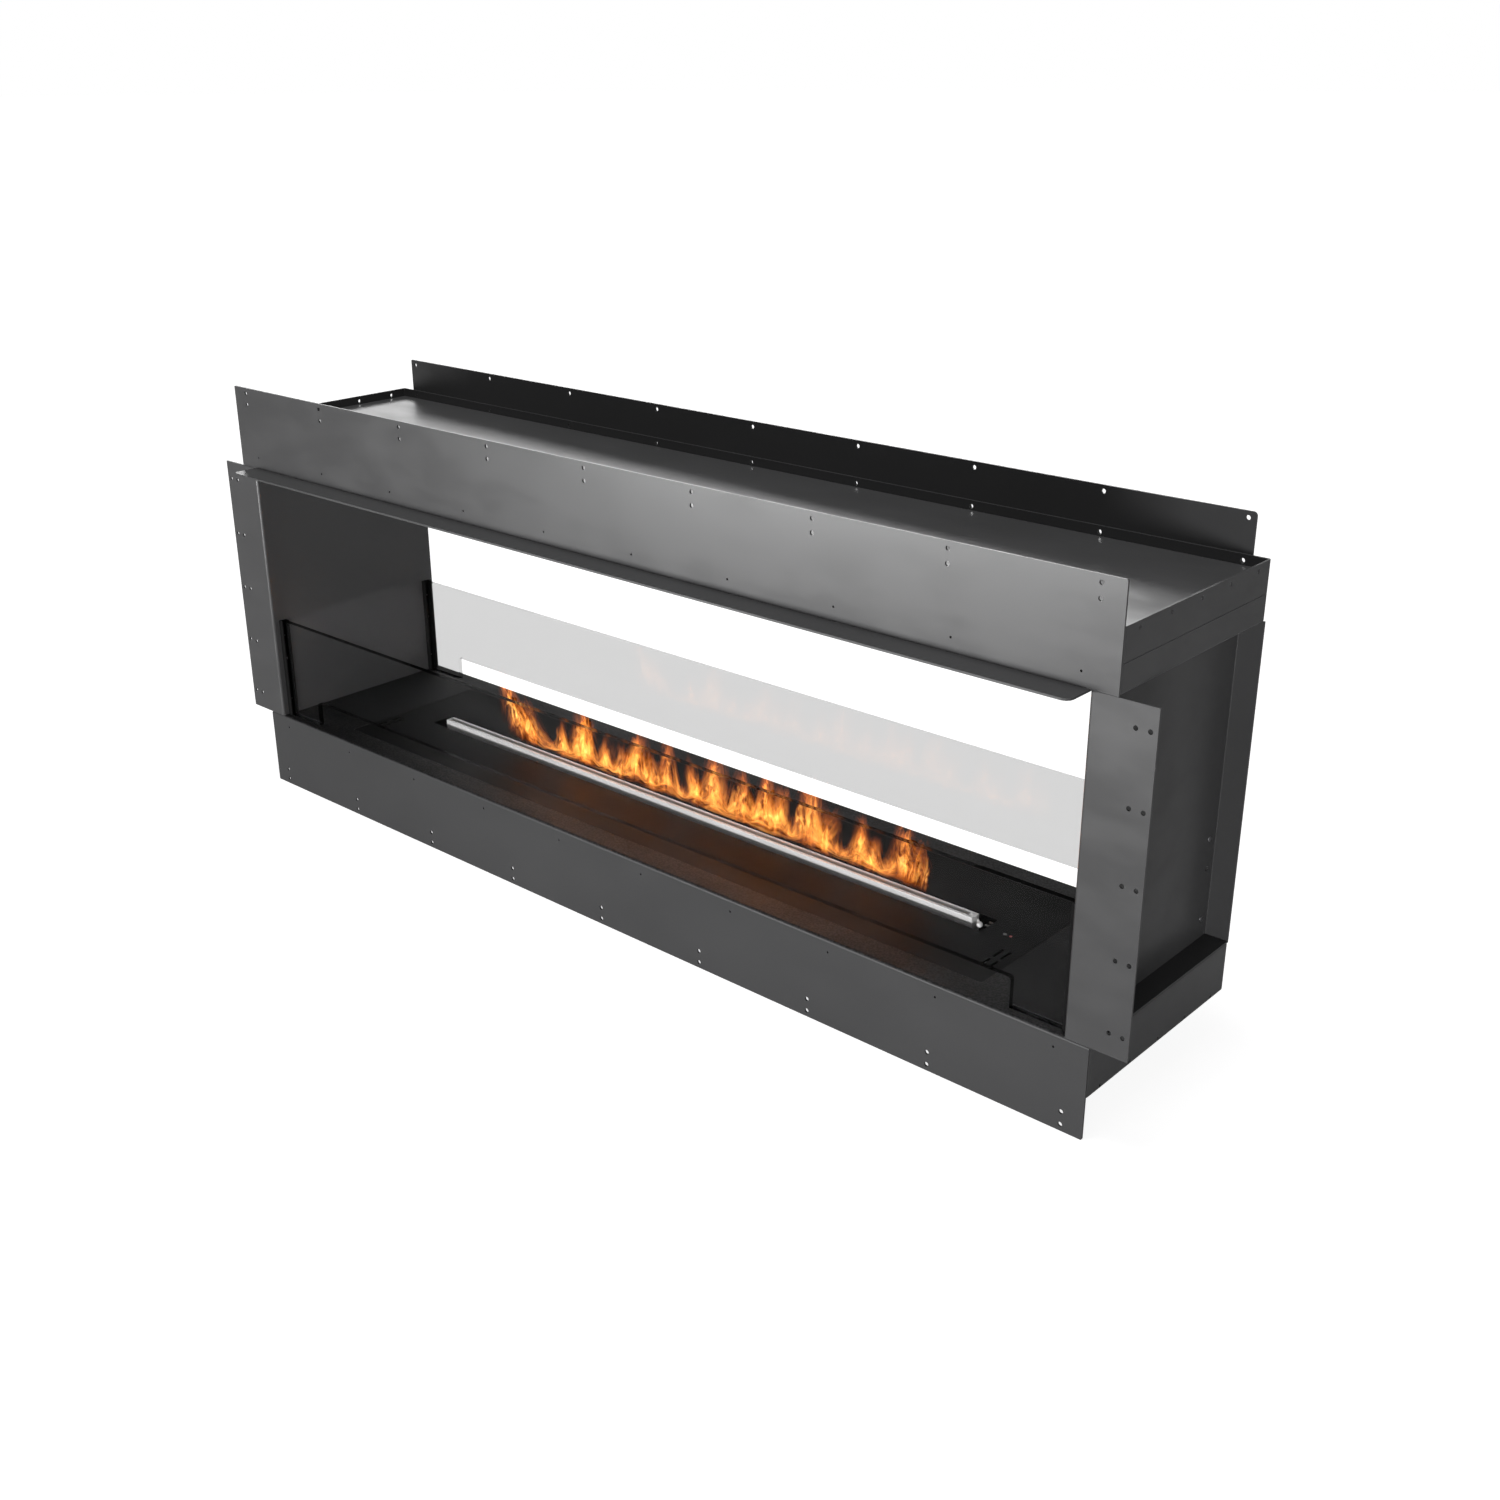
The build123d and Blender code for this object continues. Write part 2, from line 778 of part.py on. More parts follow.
def start_button():
    """Return the small round start button with the collar that keeps it in."""
    y = middle + control_y
    collar_top = under_floor - seat_gap
    bottom = collar_top - button_collar_thickness
    stem = rod((button_x, y, bottom), (0, 0, 1), floor + button_rise - bottom, button_diameter)
    stem = fillet(stem.edges().sort_by(Axis.Z)[-1], button_play)
    collar = rod((button_x, y, bottom), (0, 0, 1), button_collar_thickness, button_collar)
    return stem + collar


def status_light():
    """Return the lens of the indicator light beside the button."""
    y = middle + control_y
    bottom = floor - light_body
    lens = rod((light_x, y, bottom), (0, 0, 1), light_body + light_rise, light_diameter)
    return fillet(lens.edges().sort_by(Axis.Z)[-1], light_rise)


def to_left(part):
    """Return the same piece on the left side of the casing."""
    return mirror(part, Plane.YZ)


def to_back(part):
    """Return the same piece at the rear opening."""
    return mirror(part, Plane(origin=(0, middle, 0), z_dir=(0, 1, 0)))


def to_far_corner(part):
    """Return the same piece at the rear opening and on the left side."""
    return Pos(0, middle, 0) * Rot(0, 0, 180) * Pos(0, -middle, 0) * part


right_wall = side_wall()
front_holder = glass_holder()
front_rail = panel_rail()
front_lip = burner_lip()
right_end = rail_end()
front_pane = front_glass()

nodes = {
    "front_top_flange": front_top_flange(),
    "rear_top_flange": rear_top_flange(),
    "upper_housing": upper_housing(),
    "heat_board": heat_board(),
    "top_cover": top_cover(),
    "ceiling_plate": ceiling_plate(),
    "right_side_wall": right_wall,
    "left_side_wall": to_left(right_wall),
    "floor_frame": floor_frame(),
    "base_tray": base_tray(),
    "front_panel_rail": front_rail,
    "rear_panel_rail": to_back(front_rail),
    "front_right_glass_holder": front_holder,
    "front_left_glass_holder": to_left(front_holder),
    "rear_right_glass_holder": to_back(front_holder),
    "rear_left_glass_holder": to_far_corner(front_holder),
    "holder_rivets": holder_rivets(),
    "glass_foot_pockets": foot_pockets(),
    "front_glass": front_pane,
    "rear_glass": to_back(front_pane),
    "burner_top_plate": burner_top_plate(),
    "burner_trough": burner_trough(),
    "front_burner_lip": front_lip,
    "rear_burner_lip": to_back(front_lip),
    "right_lip_end": right_end,
    "left_lip_end": to_left(right_end),
    "fuel_tank": fuel_tank(),
    "wick_block": wick_block(),
    "shutter_flap": shutter_flap(),
    "shutter_crank": shutter_crank(),
    "igniter": igniter(),
    "flame_sensor": flame_sensor(),
    "control_module": control_module(),
    "button_switch": button_switch(),
    "battery_case": battery_case(),
    "battery_cells": battery_cells(),
    "panel_screws": panel_screws(),
    "start_button": start_button(),
    "status_light": status_light(),
}

for name, shape in nodes.items():
    shape.label = name
    export_step(shape, f"parts/{name}.step")
    print(name, len(shape.solids()), round(shape.volume))
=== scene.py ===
# %% [markdown]
# This scene dresses a built-in ethanol fireplace that is open at the front and the back. A folded
# sheet-steel casing holds a long burner in its floor, and two low glass screens stand in slots. The
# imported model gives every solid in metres, so nothing here is placed by eye.

# %% Load the model
import bmesh
import bpy
import json
import math
import random
from mathutils import Matrix, Vector


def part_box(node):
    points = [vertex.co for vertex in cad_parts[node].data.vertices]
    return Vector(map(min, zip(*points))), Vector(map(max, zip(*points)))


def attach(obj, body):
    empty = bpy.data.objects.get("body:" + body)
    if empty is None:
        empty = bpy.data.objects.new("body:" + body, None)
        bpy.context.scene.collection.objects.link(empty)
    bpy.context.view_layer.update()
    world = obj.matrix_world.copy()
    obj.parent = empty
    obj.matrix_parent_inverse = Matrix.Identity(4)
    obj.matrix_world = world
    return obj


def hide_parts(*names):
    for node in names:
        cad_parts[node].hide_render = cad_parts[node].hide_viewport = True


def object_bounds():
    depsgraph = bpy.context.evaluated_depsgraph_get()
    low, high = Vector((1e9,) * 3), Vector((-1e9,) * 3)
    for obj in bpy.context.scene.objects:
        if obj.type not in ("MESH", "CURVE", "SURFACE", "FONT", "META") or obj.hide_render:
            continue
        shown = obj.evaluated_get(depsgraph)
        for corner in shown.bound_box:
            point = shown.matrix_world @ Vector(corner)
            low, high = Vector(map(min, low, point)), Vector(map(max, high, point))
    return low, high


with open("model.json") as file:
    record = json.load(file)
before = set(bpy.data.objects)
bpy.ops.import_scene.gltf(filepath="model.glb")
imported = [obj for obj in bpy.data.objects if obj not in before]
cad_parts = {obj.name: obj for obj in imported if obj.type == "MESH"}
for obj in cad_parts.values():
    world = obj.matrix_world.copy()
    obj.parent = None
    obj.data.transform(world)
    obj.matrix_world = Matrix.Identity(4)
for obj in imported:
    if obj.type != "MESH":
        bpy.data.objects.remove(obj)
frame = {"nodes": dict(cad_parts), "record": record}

cad_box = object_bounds()
mm = 0.001
print("box in metres", [round(v, 4) for corner in cad_box for v in corner])

# %% [markdown]
# The camera stands to the right of the fireplace, above its top, and looks down to the left. Its place
# was solved from the hole rows and the long straight edges of the photograph.

# %% Camera
camera_place = (1.22038, -1.12825, 0.63593)
camera_tilt = math.radians(67.48)
camera_turn = math.radians(41.68)
camera_roll = -0.00328
camera_lens = 41.405
camera_data = bpy.data.cameras.new("camera")
camera_data.sensor_width = 36.0
camera_data.lens = camera_lens
camera_data.clip_start = 0.05
camera = bpy.data.objects.new("camera", camera_data)
camera.rotation_euler = (camera_tilt, 0.0, camera_turn)
camera.matrix_world = (
    Matrix.Translation(camera_place)
    @ camera.rotation_euler.to_matrix().to_4x4()
    @ Matrix.Rotation(camera_roll, 4, "Z")
)
bpy.context.collection.objects.link(camera)
bpy.context.scene.camera = camera
print("camera lens", camera_lens, "mm")

# %% [markdown]
# Materials are small networks of nodes. Drawn one by one they would fill many pages, so short helpers
# write them: they add a node with its values, start a group or a material, and return noise, ranges, sums
# and mixes. Patterns read Object coordinates, which are the model's own metres, so their scale is real.

# %% Helpers for node networks
def add_node(tree, kind, **values):
    """Add a node and set its properties, or its sockets where the name is a socket's."""
    node = tree.nodes.new(kind)
    for name, value in values.items():
        socket = node.inputs.get(name.replace("_", " "))
        if socket is not None:
            socket.default_value = value
        else:
            setattr(node, name, value)
    return node


def new_group(name, inputs, outputs):
    """Start a shader group with named number or colour sockets."""
    group = bpy.data.node_groups.new(name, "ShaderNodeTree")
    kinds = {"number": "NodeSocketFloat", "colour": "NodeSocketColor"}
    for socket_name, kind, value in inputs:
        socket = group.interface.new_socket(socket_name, in_out="INPUT", socket_type=kinds[kind])
        socket.default_value = value
    for socket_name, kind in outputs:
        group.interface.new_socket(socket_name, in_out="OUTPUT", socket_type=kinds[kind])
    start = group.nodes.new("NodeGroupInput")
    end = group.nodes.new("NodeGroupOutput")
    return group, start.outputs, end.inputs


def noise(tree, scale, detail=3.0, stretch=(1.0, 1.0, 1.0)):
    """Return the output of a noise on Object coordinates, with cells of 1 / scale metres."""
    place = add_node(tree, "ShaderNodeTexCoord")
    mapping = add_node(tree, "ShaderNodeMapping", Scale=stretch)
    tree.links.new(place.outputs["Object"], mapping.inputs["Vector"])
    texture = add_node(tree, "ShaderNodeTexNoise", Scale=scale, Detail=detail)
    tree.links.new(mapping.outputs["Vector"], texture.inputs["Vector"])
    return texture.outputs["Fac"]


def ranged(tree, value, low, high, new_low, new_high):
    """Return value moved from one range to another and held inside it."""
    node = add_node(tree, "ShaderNodeMapRange")
    tree.links.new(value, node.inputs["Value"])
    for socket, number in zip(("From Min", "From Max", "To Min", "To Max"), (low, high, new_low, new_high)):
        if isinstance(number, (int, float)):
            node.inputs[socket].default_value = number
        else:
            tree.links.new(number, node.inputs[socket])
    return node.outputs["Result"]


def maths(tree, operation, first, second):
    """Return the result of one sum, whose terms are numbers or outputs."""
    node = add_node(tree, "ShaderNodeMath", operation=operation)
    for socket, term in zip(node.inputs, (first, second)):
        if isinstance(term, (int, float)):
            socket.default_value = term
        else:
            tree.links.new(term, socket)
    return node.outputs[0]


def mixed(tree, factor, first, second):
    """Return two colours mixed by a factor."""
    node = add_node(tree, "ShaderNodeMix", data_type="RGBA")
    for socket, term in zip((node.inputs[0], node.inputs[6], node.inputs[7]), (factor, first, second)):
        if isinstance(term, (int, float, tuple)):
            socket.default_value = term
        else:
            tree.links.new(term, socket)
    return node.outputs[2]


def new_material(name):
    """Start a material and return its tree and its Principled shader."""
    material = bpy.data.materials.new(name)
    material.use_nodes = True
    return material, material.node_tree, material.node_tree.nodes["Principled BSDF"]


def bump(tree, shader, height, strength, distance):
    """Feed a height in metres into the shader's normal."""
    node = add_node(tree, "ShaderNodeBump", Strength=strength, Distance=distance)
    tree.links.new(height, node.inputs["Height"])
    tree.links.new(node.outputs["Normal"], shader.inputs["Normal"])


# %% [markdown]
# Handling rubs the edges of a sheet bright, and its folds catch a thin line of light. Both are painted here
# as a paler colour, partly wear and partly painted highlight. Painted by hand, they would be redone for each
# sheet, so one group finds them for every coated material. It compares the surface with a copy whose edges
# are rounded: the two differ only at edges and folds. Noise breaks the mask up, because real wear is never an
# even line.

# %% Group for worn edges
def make_edge_wear_and_highlight():
    """Group that gives a mask of worn edges and painted fold highlights."""
    group, given, out = new_group(
        "worn and highlighted edges",
        [("Width", "number", 0.001), ("Amount", "number", 0.5)],
        [("Mask", "number")],
    )
    rounded = add_node(group, "ShaderNodeBevel", samples=4)
    group.links.new(given["Width"], rounded.inputs["Radius"])
    surface = add_node(group, "ShaderNodeNewGeometry")
    compare = add_node(group, "ShaderNodeVectorMath", operation="DOT_PRODUCT")
    group.links.new(rounded.outputs["Normal"], compare.inputs[0])
    group.links.new(surface.outputs["Normal"], compare.inputs[1])
    edge = ranged(group, compare.outputs["Value"], 0.99, 0.75, 0.0, 1.0)
    patches = ranged(group, noise(group, 60.0, 4.0), 0.35, 0.75, 0.25, 1.0)
    broken = maths(group, "MULTIPLY", edge, patches)
    group.links.new(maths(group, "MULTIPLY", broken, given["Amount"]), out["Mask"])
    return group


edge_wear_and_highlight = make_edge_wear_and_highlight()
print("made", edge_wear_and_highlight.name)

# %% [markdown]
# The casing is powder coated. The powder melts into a fine orange peel with pits under a millimetre wide,
# and the coat's shade drifts a little over a long sheet. Handling leaves faint duller smears.

# %% Group for powder coat
def make_powder_coat():
    """Group that gives the colour, roughness and height of a powder coat."""
    group, given, out = new_group(
        "powder coat",
        [
            ("Colour", "colour", (0.1, 0.1, 0.1, 1.0)),
            ("Edge Colour", "colour", (0.3, 0.3, 0.3, 1.0)),
            ("Edge", "number", 0.0),
            ("Speckle", "number", 0.1),
            ("Roughness", "number", 0.5),
            ("Clumps", "number", 0.0),
        ],
        [("Colour", "colour"), ("Roughness", "number"), ("Height", "number")],
    )
    drift = ranged(group, noise(group, 4.0, 2.0), 0.3, 0.7, 0.94, 1.06)
    grain = noise(group, 1400.0, 2.0)
    fleck = ranged(group, grain, 0.5, 0.75, 0.0, 1.0)
    clump = ranged(group, noise(group, 480.0, 1.0), 0.35, 0.65, -0.5, 0.5)
    flecks = maths(group, "MULTIPLY", fleck, given["Speckle"])
    clumps = maths(group, "MULTIPLY", clump, given["Clumps"])
    shade = maths(group, "ADD", drift, maths(group, "ADD", flecks, clumps))
    toned = add_node(group, "ShaderNodeVectorMath", operation="SCALE")
    group.links.new(given["Colour"], toned.inputs[0])
    group.links.new(shade, toned.inputs["Scale"])
    worn = mixed(group, given["Edge"], toned.outputs[0], given["Edge Colour"])
    group.links.new(worn, out["Colour"])
    smear = ranged(group, noise(group, 11.0, 6.0, (1.0, 2.0, 2.5)), 0.4, 0.75, -0.03, 0.09)
    group.links.new(maths(group, "ADD", given["Roughness"], smear), out["Roughness"])
    peel = maths(group, "ADD", maths(group, "MULTIPLY", noise(group, 420.0, 2.0), 0.6), grain)
    group.links.new(peel, out["Height"])
    return group


powder_coat = make_powder_coat()
print("made", powder_coat.name)

# %% [markdown]
# The casing has a graphite coat and the burner unit a black heat-proof one. They could be two separate
# materials, but one function keeps them alike in all but shade, roughness and gloss, as two powders from
# one shop are.

# %% Coated sheet in two shades
graphite = (0.068, 0.068, 0.0694)
# The edge colour is paler graphite for worn coat and for painted highlights along the folds.
graphite_edge = (0.15, 0.15, 0.153)
graphite_roughness = 0.33
wear_and_highlight_width = 0.8 * mm


def coated_sheet(name, colour, edge_colour, roughness, speckle, relief, wear_and_highlight_amount, gloss):
    """Powder-coated steel with its own colour, speckle, relief in metres, and edge wear with painted fold
    highlights.
    """
    material, tree, shader = new_material(name)
    edges = add_node(tree, "ShaderNodeGroup", node_tree=edge_wear_and_highlight)
    edges.inputs["Width"].default_value = wear_and_highlight_width
    edges.inputs["Amount"].default_value = wear_and_highlight_amount
    coat = add_node(tree, "ShaderNodeGroup", node_tree=powder_coat)
    coat.inputs["Colour"].default_value = (*colour, 1.0)
    coat.inputs["Edge Colour"].default_value = (*edge_colour, 1.0)
    coat.inputs["Speckle"].default_value = speckle
    coat.inputs["Roughness"].default_value = roughness
    tree.links.new(edges.outputs["Mask"], coat.inputs["Edge"])
    tree.links.new(coat.outputs["Colour"], shader.inputs["Base Color"])
    tree.links.new(coat.outputs["Roughness"], shader.inputs["Roughness"])
    bump(tree, shader, coat.outputs["Height"], 1.0, relief)
    shader.inputs["Specular IOR Level"].default_value = gloss
    return material


graphite_coat = coated_sheet(
    "graphite powder coat", graphite, graphite_edge, graphite_roughness,
    speckle=0.08, relief=0.012 * mm, wear_and_highlight_amount=0.6, gloss=0.36,
)
black_coat = coated_sheet(
    "black heat coat", (0.0085, 0.0085, 0.0086), (0.03, 0.03, 0.03), 0.6,
    speckle=0.06, relief=0.004 * mm, wear_and_highlight_amount=0.3, gloss=0.035,
)
print("made", graphite_coat.name, "and", black_coat.name)

# %% [markdown]
# The floor sheet is coated like the rest where it folds down in front. Its top inside the firebox lies in
# shade,
# and that shade is painted into it: the top is darkened to a matt near black. The sheet could be split in two
# pieces, but it is one folded sheet, so the material tells the parts apart: only faces that look up between
# the side walls get the painted shade.

# %% Firebox floor
painted_shade_black = (0.011, 0.011, 0.0114)
firebox_top_roughness = 0.66


def axis_parts(tree, vector):
    """Return the X, Y and Z outputs of a vector."""
    parts = add_node(tree, "ShaderNodeSeparateXYZ")
    tree.links.new(vector, parts.inputs[0])
    return parts.outputs


def firebox_sheet(name, wall_x):
    """Graphite coat, with a painted shade of matt black on faces that look up between walls at plus and minus
    wall_x.
    """
    material, tree, shader = new_material(name)
    surface = add_node(tree, "ShaderNodeNewGeometry")
    place = add_node(tree, "ShaderNodeTexCoord")
    x = maths(tree, "ABSOLUTE", axis_parts(tree, place.outputs["Object"])["X"], 0.0)
    inside = maths(tree, "LESS_THAN", x, wall_x)
    facing = ranged(tree, axis_parts(tree, surface.outputs["Normal"])["Z"], 0.5, 0.95, 0.0, 1.0)
    up = maths(tree, "MULTIPLY", facing, inside)
    coat = add_node(tree, "ShaderNodeGroup", node_tree=powder_coat)
    coat.inputs["Speckle"].default_value = 0.25
    tree.links.new(maths(tree, "MULTIPLY", up, 1.5), coat.inputs["Clumps"])
    # Faces that look up between the walls are darkened to near black as painted shade.
    tree.links.new(mixed(tree, up, (*graphite, 1.0), (*painted_shade_black, 1.0)), coat.inputs["Colour"])
    edges = add_node(tree, "ShaderNodeGroup", node_tree=edge_wear_and_highlight)
    edges.inputs["Width"].default_value = wear_and_highlight_width
    edges.inputs["Amount"].default_value = 0.5
    tree.links.new(edges.outputs["Mask"], coat.inputs["Edge"])
    coat.inputs["Edge Colour"].default_value = (*graphite_edge, 1.0)
    tree.links.new(ranged(tree, up, 0.0, 1.0, graphite_roughness, firebox_top_roughness), coat.inputs["Roughness"])
    tree.links.new(coat.outputs["Colour"], shader.inputs["Base Color"])
    tree.links.new(coat.outputs["Roughness"], shader.inputs["Roughness"])
    bump(tree, shader, coat.outputs["Height"], 1.0, 0.02 * mm)
    shader.inputs["Specular IOR Level"].default_value = 0.1
    return material


firebox_coat = firebox_sheet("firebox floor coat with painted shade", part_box("right_side_wall")[0].x)
print("made", firebox_coat.name)

# %% [markdown]
# The burner's rims are bare stainless steel, brushed along their length. Brushing is noise stretched a
# hundredfold along X: it varies the roughness and cuts hair-thin grooves. The photograph shows the rims
# pale and satin, so most of their light is scattered and little is mirrored.

# %% Group for brushed grain
def make_brushed():
    """Group that gives the colour, roughness and height of brushed metal, grained along X."""
    group, given, out = new_group(
        "brushed metal",
        [
            ("Colour", "colour", (0.6, 0.6, 0.6, 1.0)),
            ("Roughness", "number", 0.3),
            ("Grain", "number", 0.1),
        ],
        [("Colour", "colour"), ("Roughness", "number"), ("Height", "number")],
    )
    hair = noise(group, 900.0, 4.0, (0.012, 1.0, 1.0))
    cloud = ranged(group, noise(group, 18.0, 4.0), 0.3, 0.7, 0.93, 1.05)
    shade = maths(group, "MULTIPLY", cloud, ranged(group, hair, 0.2, 0.8, 0.94, 1.06))
    toned = add_node(group, "ShaderNodeVectorMath", operation="SCALE")
    group.links.new(given["Colour"], toned.inputs[0])
    group.links.new(shade, toned.inputs["Scale"])
    group.links.new(toned.outputs[0], out["Colour"])
    rougher = maths(group, "MULTIPLY", maths(group, "SUBTRACT", hair, 0.5), given["Grain"])
    group.links.new(maths(group, "ADD", given["Roughness"], rougher), out["Roughness"])
    group.links.new(hair, out["Height"])
    return group


brushed_metal = make_brushed()
print("made", brushed_metal.name)

# %% [markdown]
# The rims, the tank and the small fasteners are three metals that share this grain. The tank and the
# fasteners mirror fully, and the rims are mostly a pale colour that scatters light, with a little mirror
# over it.

# %% Metals
def metal(name, colour, roughness, grain, relief, metallic=1.0):
    """Bare metal with a brushed grain. A low metallic value stands for a skin that scatters light."""
    material, tree, shader = new_material(name)
    brushed = add_node(tree, "ShaderNodeGroup", node_tree=brushed_metal)
    brushed.inputs["Colour"].default_value = (*colour, 1.0)
    brushed.inputs["Roughness"].default_value = roughness
    brushed.inputs["Grain"].default_value = grain
    tree.links.new(brushed.outputs["Colour"], shader.inputs["Base Color"])
    tree.links.new(brushed.outputs["Roughness"], shader.inputs["Roughness"])
    bump(tree, shader, brushed.outputs["Height"], 1.0, relief)
    shader.inputs["Metallic"].default_value = metallic
    return material


burner_steel = metal("burner steel", (0.93, 0.925, 0.92), 0.4, 0.2, 0.006 * mm, 0.1)
tank_steel = metal("tank steel", (0.5, 0.5, 0.49), 0.38, 0.3, 0.015 * mm)
zinc_steel = metal("zinc plated steel", (0.5, 0.5, 0.52), 0.35, 0.2, 0.01 * mm)
print("made three metals")

# %% [markdown]
# Galvanised angles carry the burner unit. Zinc freezes into crystals, called spangle, which a Voronoi
# texture draws well: each cell gets its own shade and roughness.

# %% Galvanised steel
def galvanised(name):
    """Galvanised steel with spangle about a centimetre wide."""
    material, tree, shader = new_material(name)
    place = add_node(tree, "ShaderNodeTexCoord")
    crystals = add_node(tree, "ShaderNodeTexVoronoi", Scale=110.0)
    tree.links.new(place.outputs["Object"], crystals.inputs["Vector"])
    grey = add_node(tree, "ShaderNodeRGBToBW")
    tree.links.new(crystals.outputs["Color"], grey.inputs["Color"])
    tone = mixed(tree, grey.outputs[0], (0.3, 0.31, 0.32, 1.0), (0.46, 0.47, 0.48, 1.0))
    tree.links.new(tone, shader.inputs["Base Color"])
    tree.links.new(ranged(tree, grey.outputs[0], 0.0, 1.0, 0.35, 0.6), shader.inputs["Roughness"])
    bump(tree, shader, noise(tree, 300.0), 1.0, 0.01 * mm)
    shader.inputs["Metallic"].default_value = 1.0
    return material


galvanised_steel = galvanised("galvanised steel")
print("made", galvanised_steel.name)

# %% [markdown]
# The screens are 6 mm heat-proof glass with a grey tint. The panes hardly bend what is behind them, so a
# low index is used, with a thin coat for their faint reflections. The edges' colour holds their tint and a
# painted reflection: near black on the front pane for the dark firebox it mirrors, and clear on the rear pane
# for the daylight. A pane would throw a solid black shadow here, because the renderer doesn't bend lamp light
# through it, so for shadow rays the shader turns to plain see-through, and the lamps' light isn't dimmed.

# %% Glass
def tinted_glass(name, tint, edge_tint_and_reflection):
    """Smooth glass with a tint on its panes, another with a painted reflection on its edges, and faint dust
    that dulls it in places.
    """
    material, tree, shader = new_material(name)
    surface = add_node(tree, "ShaderNodeNewGeometry")
    flat = maths(tree, "ABSOLUTE", axis_parts(tree, surface.outputs["True Normal"])["Y"], 0.0)
    pane = ranged(tree, flat, 0.8, 0.9, 0.0, 1.0)
    tint_rgba = (tint, tint, tint, 1.0)
    edge_reflection_rgba = (edge_tint_and_reflection, edge_tint_and_reflection, edge_tint_and_reflection, 1.0)
    tree.links.new(mixed(tree, pane, edge_reflection_rgba, tint_rgba), shader.inputs["Base Color"])
    shader.inputs["Transmission Weight"].default_value = 1.0
    shader.inputs["IOR"].default_value = 1.02
    tree.links.new(maths(tree, "MULTIPLY", pane, 0.1), shader.inputs["Coat Weight"])
    film = ranged(tree, noise(tree, 9.0, 6.0), 0.5, 0.8, 0.0, 0.015)
    tree.links.new(film, shader.inputs["Roughness"])
    clear = add_node(tree, "ShaderNodeBsdfTransparent")
    rays = add_node(tree, "ShaderNodeLightPath")
    mix = add_node(tree, "ShaderNodeMixShader")
    tree.links.new(rays.outputs["Is Shadow Ray"], mix.inputs["Fac"])
    tree.links.new(shader.outputs[0], mix.inputs[1])
    tree.links.new(clear.outputs[0], mix.inputs[2])
    output = tree.nodes["Material Output"]
    tree.links.new(mix.outputs[0], output.inputs["Surface"])
    return material


rear_glass = tinted_glass("rear screen glass", 0.59, 0.55)
front_glass = tinted_glass("front screen glass", 0.69, 0.05)
print("made", rear_glass.name, "and", front_glass.name)

# %% [markdown]
# Inside are ceramics and plastics. Board and wool are fibrous and soft in shade, moulded plastic has a
# fine even texture, and lenses are glossy. One function makes the plain ones from a colour, a grain size
# and a relief.

# %% Ceramics and plastics
def grained(name, dark, pale, roughness, scale, relief, stretch=(1.0, 1.0, 1.0), gloss=0.5):
    """A material that wanders between two colours, with its own grain."""
    material, tree, shader = new_material(name)
    patches = ranged(tree, noise(tree, scale, 5.0, stretch), 0.3, 0.7, 0.0, 1.0)
    tree.links.new(mixed(tree, patches, (*dark, 1.0), (*pale, 1.0)), shader.inputs["Base Color"])
    spread = ranged(tree, noise(tree, scale / 5.0, 3.0), 0.3, 0.7, roughness - 0.06, roughness + 0.06)
    tree.links.new(spread, shader.inputs["Roughness"])
    bump(tree, shader, noise(tree, scale, 4.0, stretch), 1.0, relief)
    shader.inputs["Specular IOR Level"].default_value = gloss
    return material


mineral_board = grained("mineral board", (0.55, 0.51, 0.44), (0.68, 0.64, 0.57), 0.9, 160.0, 0.2 * mm)
ceramic_wool = grained(
    "ceramic wool", (0.72, 0.71, 0.67), (0.88, 0.87, 0.84), 0.95, 420.0, 0.4 * mm, stretch=(1.0, 0.2, 1.0)
)
igniter_ceramic = grained("igniter ceramic", (0.6, 0.58, 0.55), (0.75, 0.73, 0.7), 0.6, 700.0, 0.02 * mm)
# The black plastic is painted darker than plastic is, so the slots in the plate above it show painted shade.
black_plastic = grained(
    "black moulded plastic darkened as slot shade", (0.003, 0.003, 0.003), (0.006, 0.006, 0.006), 0.7, 900.0, 0.03 * mm, gloss=0.1
)
cell_wrap = grained("battery wrap", (0.07, 0.08, 0.1), (0.1, 0.11, 0.13), 0.3, 120.0, 0.01 * mm)
button_plastic = grained("button plastic", (0.07, 0.07, 0.072), (0.12, 0.12, 0.123), 0.4, 500.0, 0.01 * mm)
print("made six ceramics and plastics")

# %% [markdown]
# The status light is a small red lens. A lamp behind it would have to be placed and shielded, so the lens
# itself glows a little, which looks the same at this size.

# %% Lamp lens
def glowing_lens(name, colour, glow):
    """A coloured lens that glows a little, with cloudy paler spots."""
    material, tree, shader = new_material(name)
    paler = [min(1.0, part * 1.5) for part in colour]
    cloudy = mixed(tree, noise(tree, 900.0), (*colour, 1.0), (*paler, 1.0))
    tree.links.new(cloudy, shader.inputs["Base Color"])
    shader.inputs["Emission Color"].default_value = (*colour, 1.0)
    shader.inputs["Emission Strength"].default_value = glow
    tree.links.new(ranged(tree, noise(tree, 200.0), 0.3, 0.7, 0.15, 0.25), shader.inputs["Roughness"])
    return material


red_lens = glowing_lens("red lamp lens", (0.22, 0.05, 0.05), 0.25)
print("made", red_lens.name)

# %% [markdown]
# Each solid's material slots now get their finish. The record names a material for each solid, and one
# table turns that into a finish. The burner plate and its screws are black like the trough, and each
# screen has its own glass.

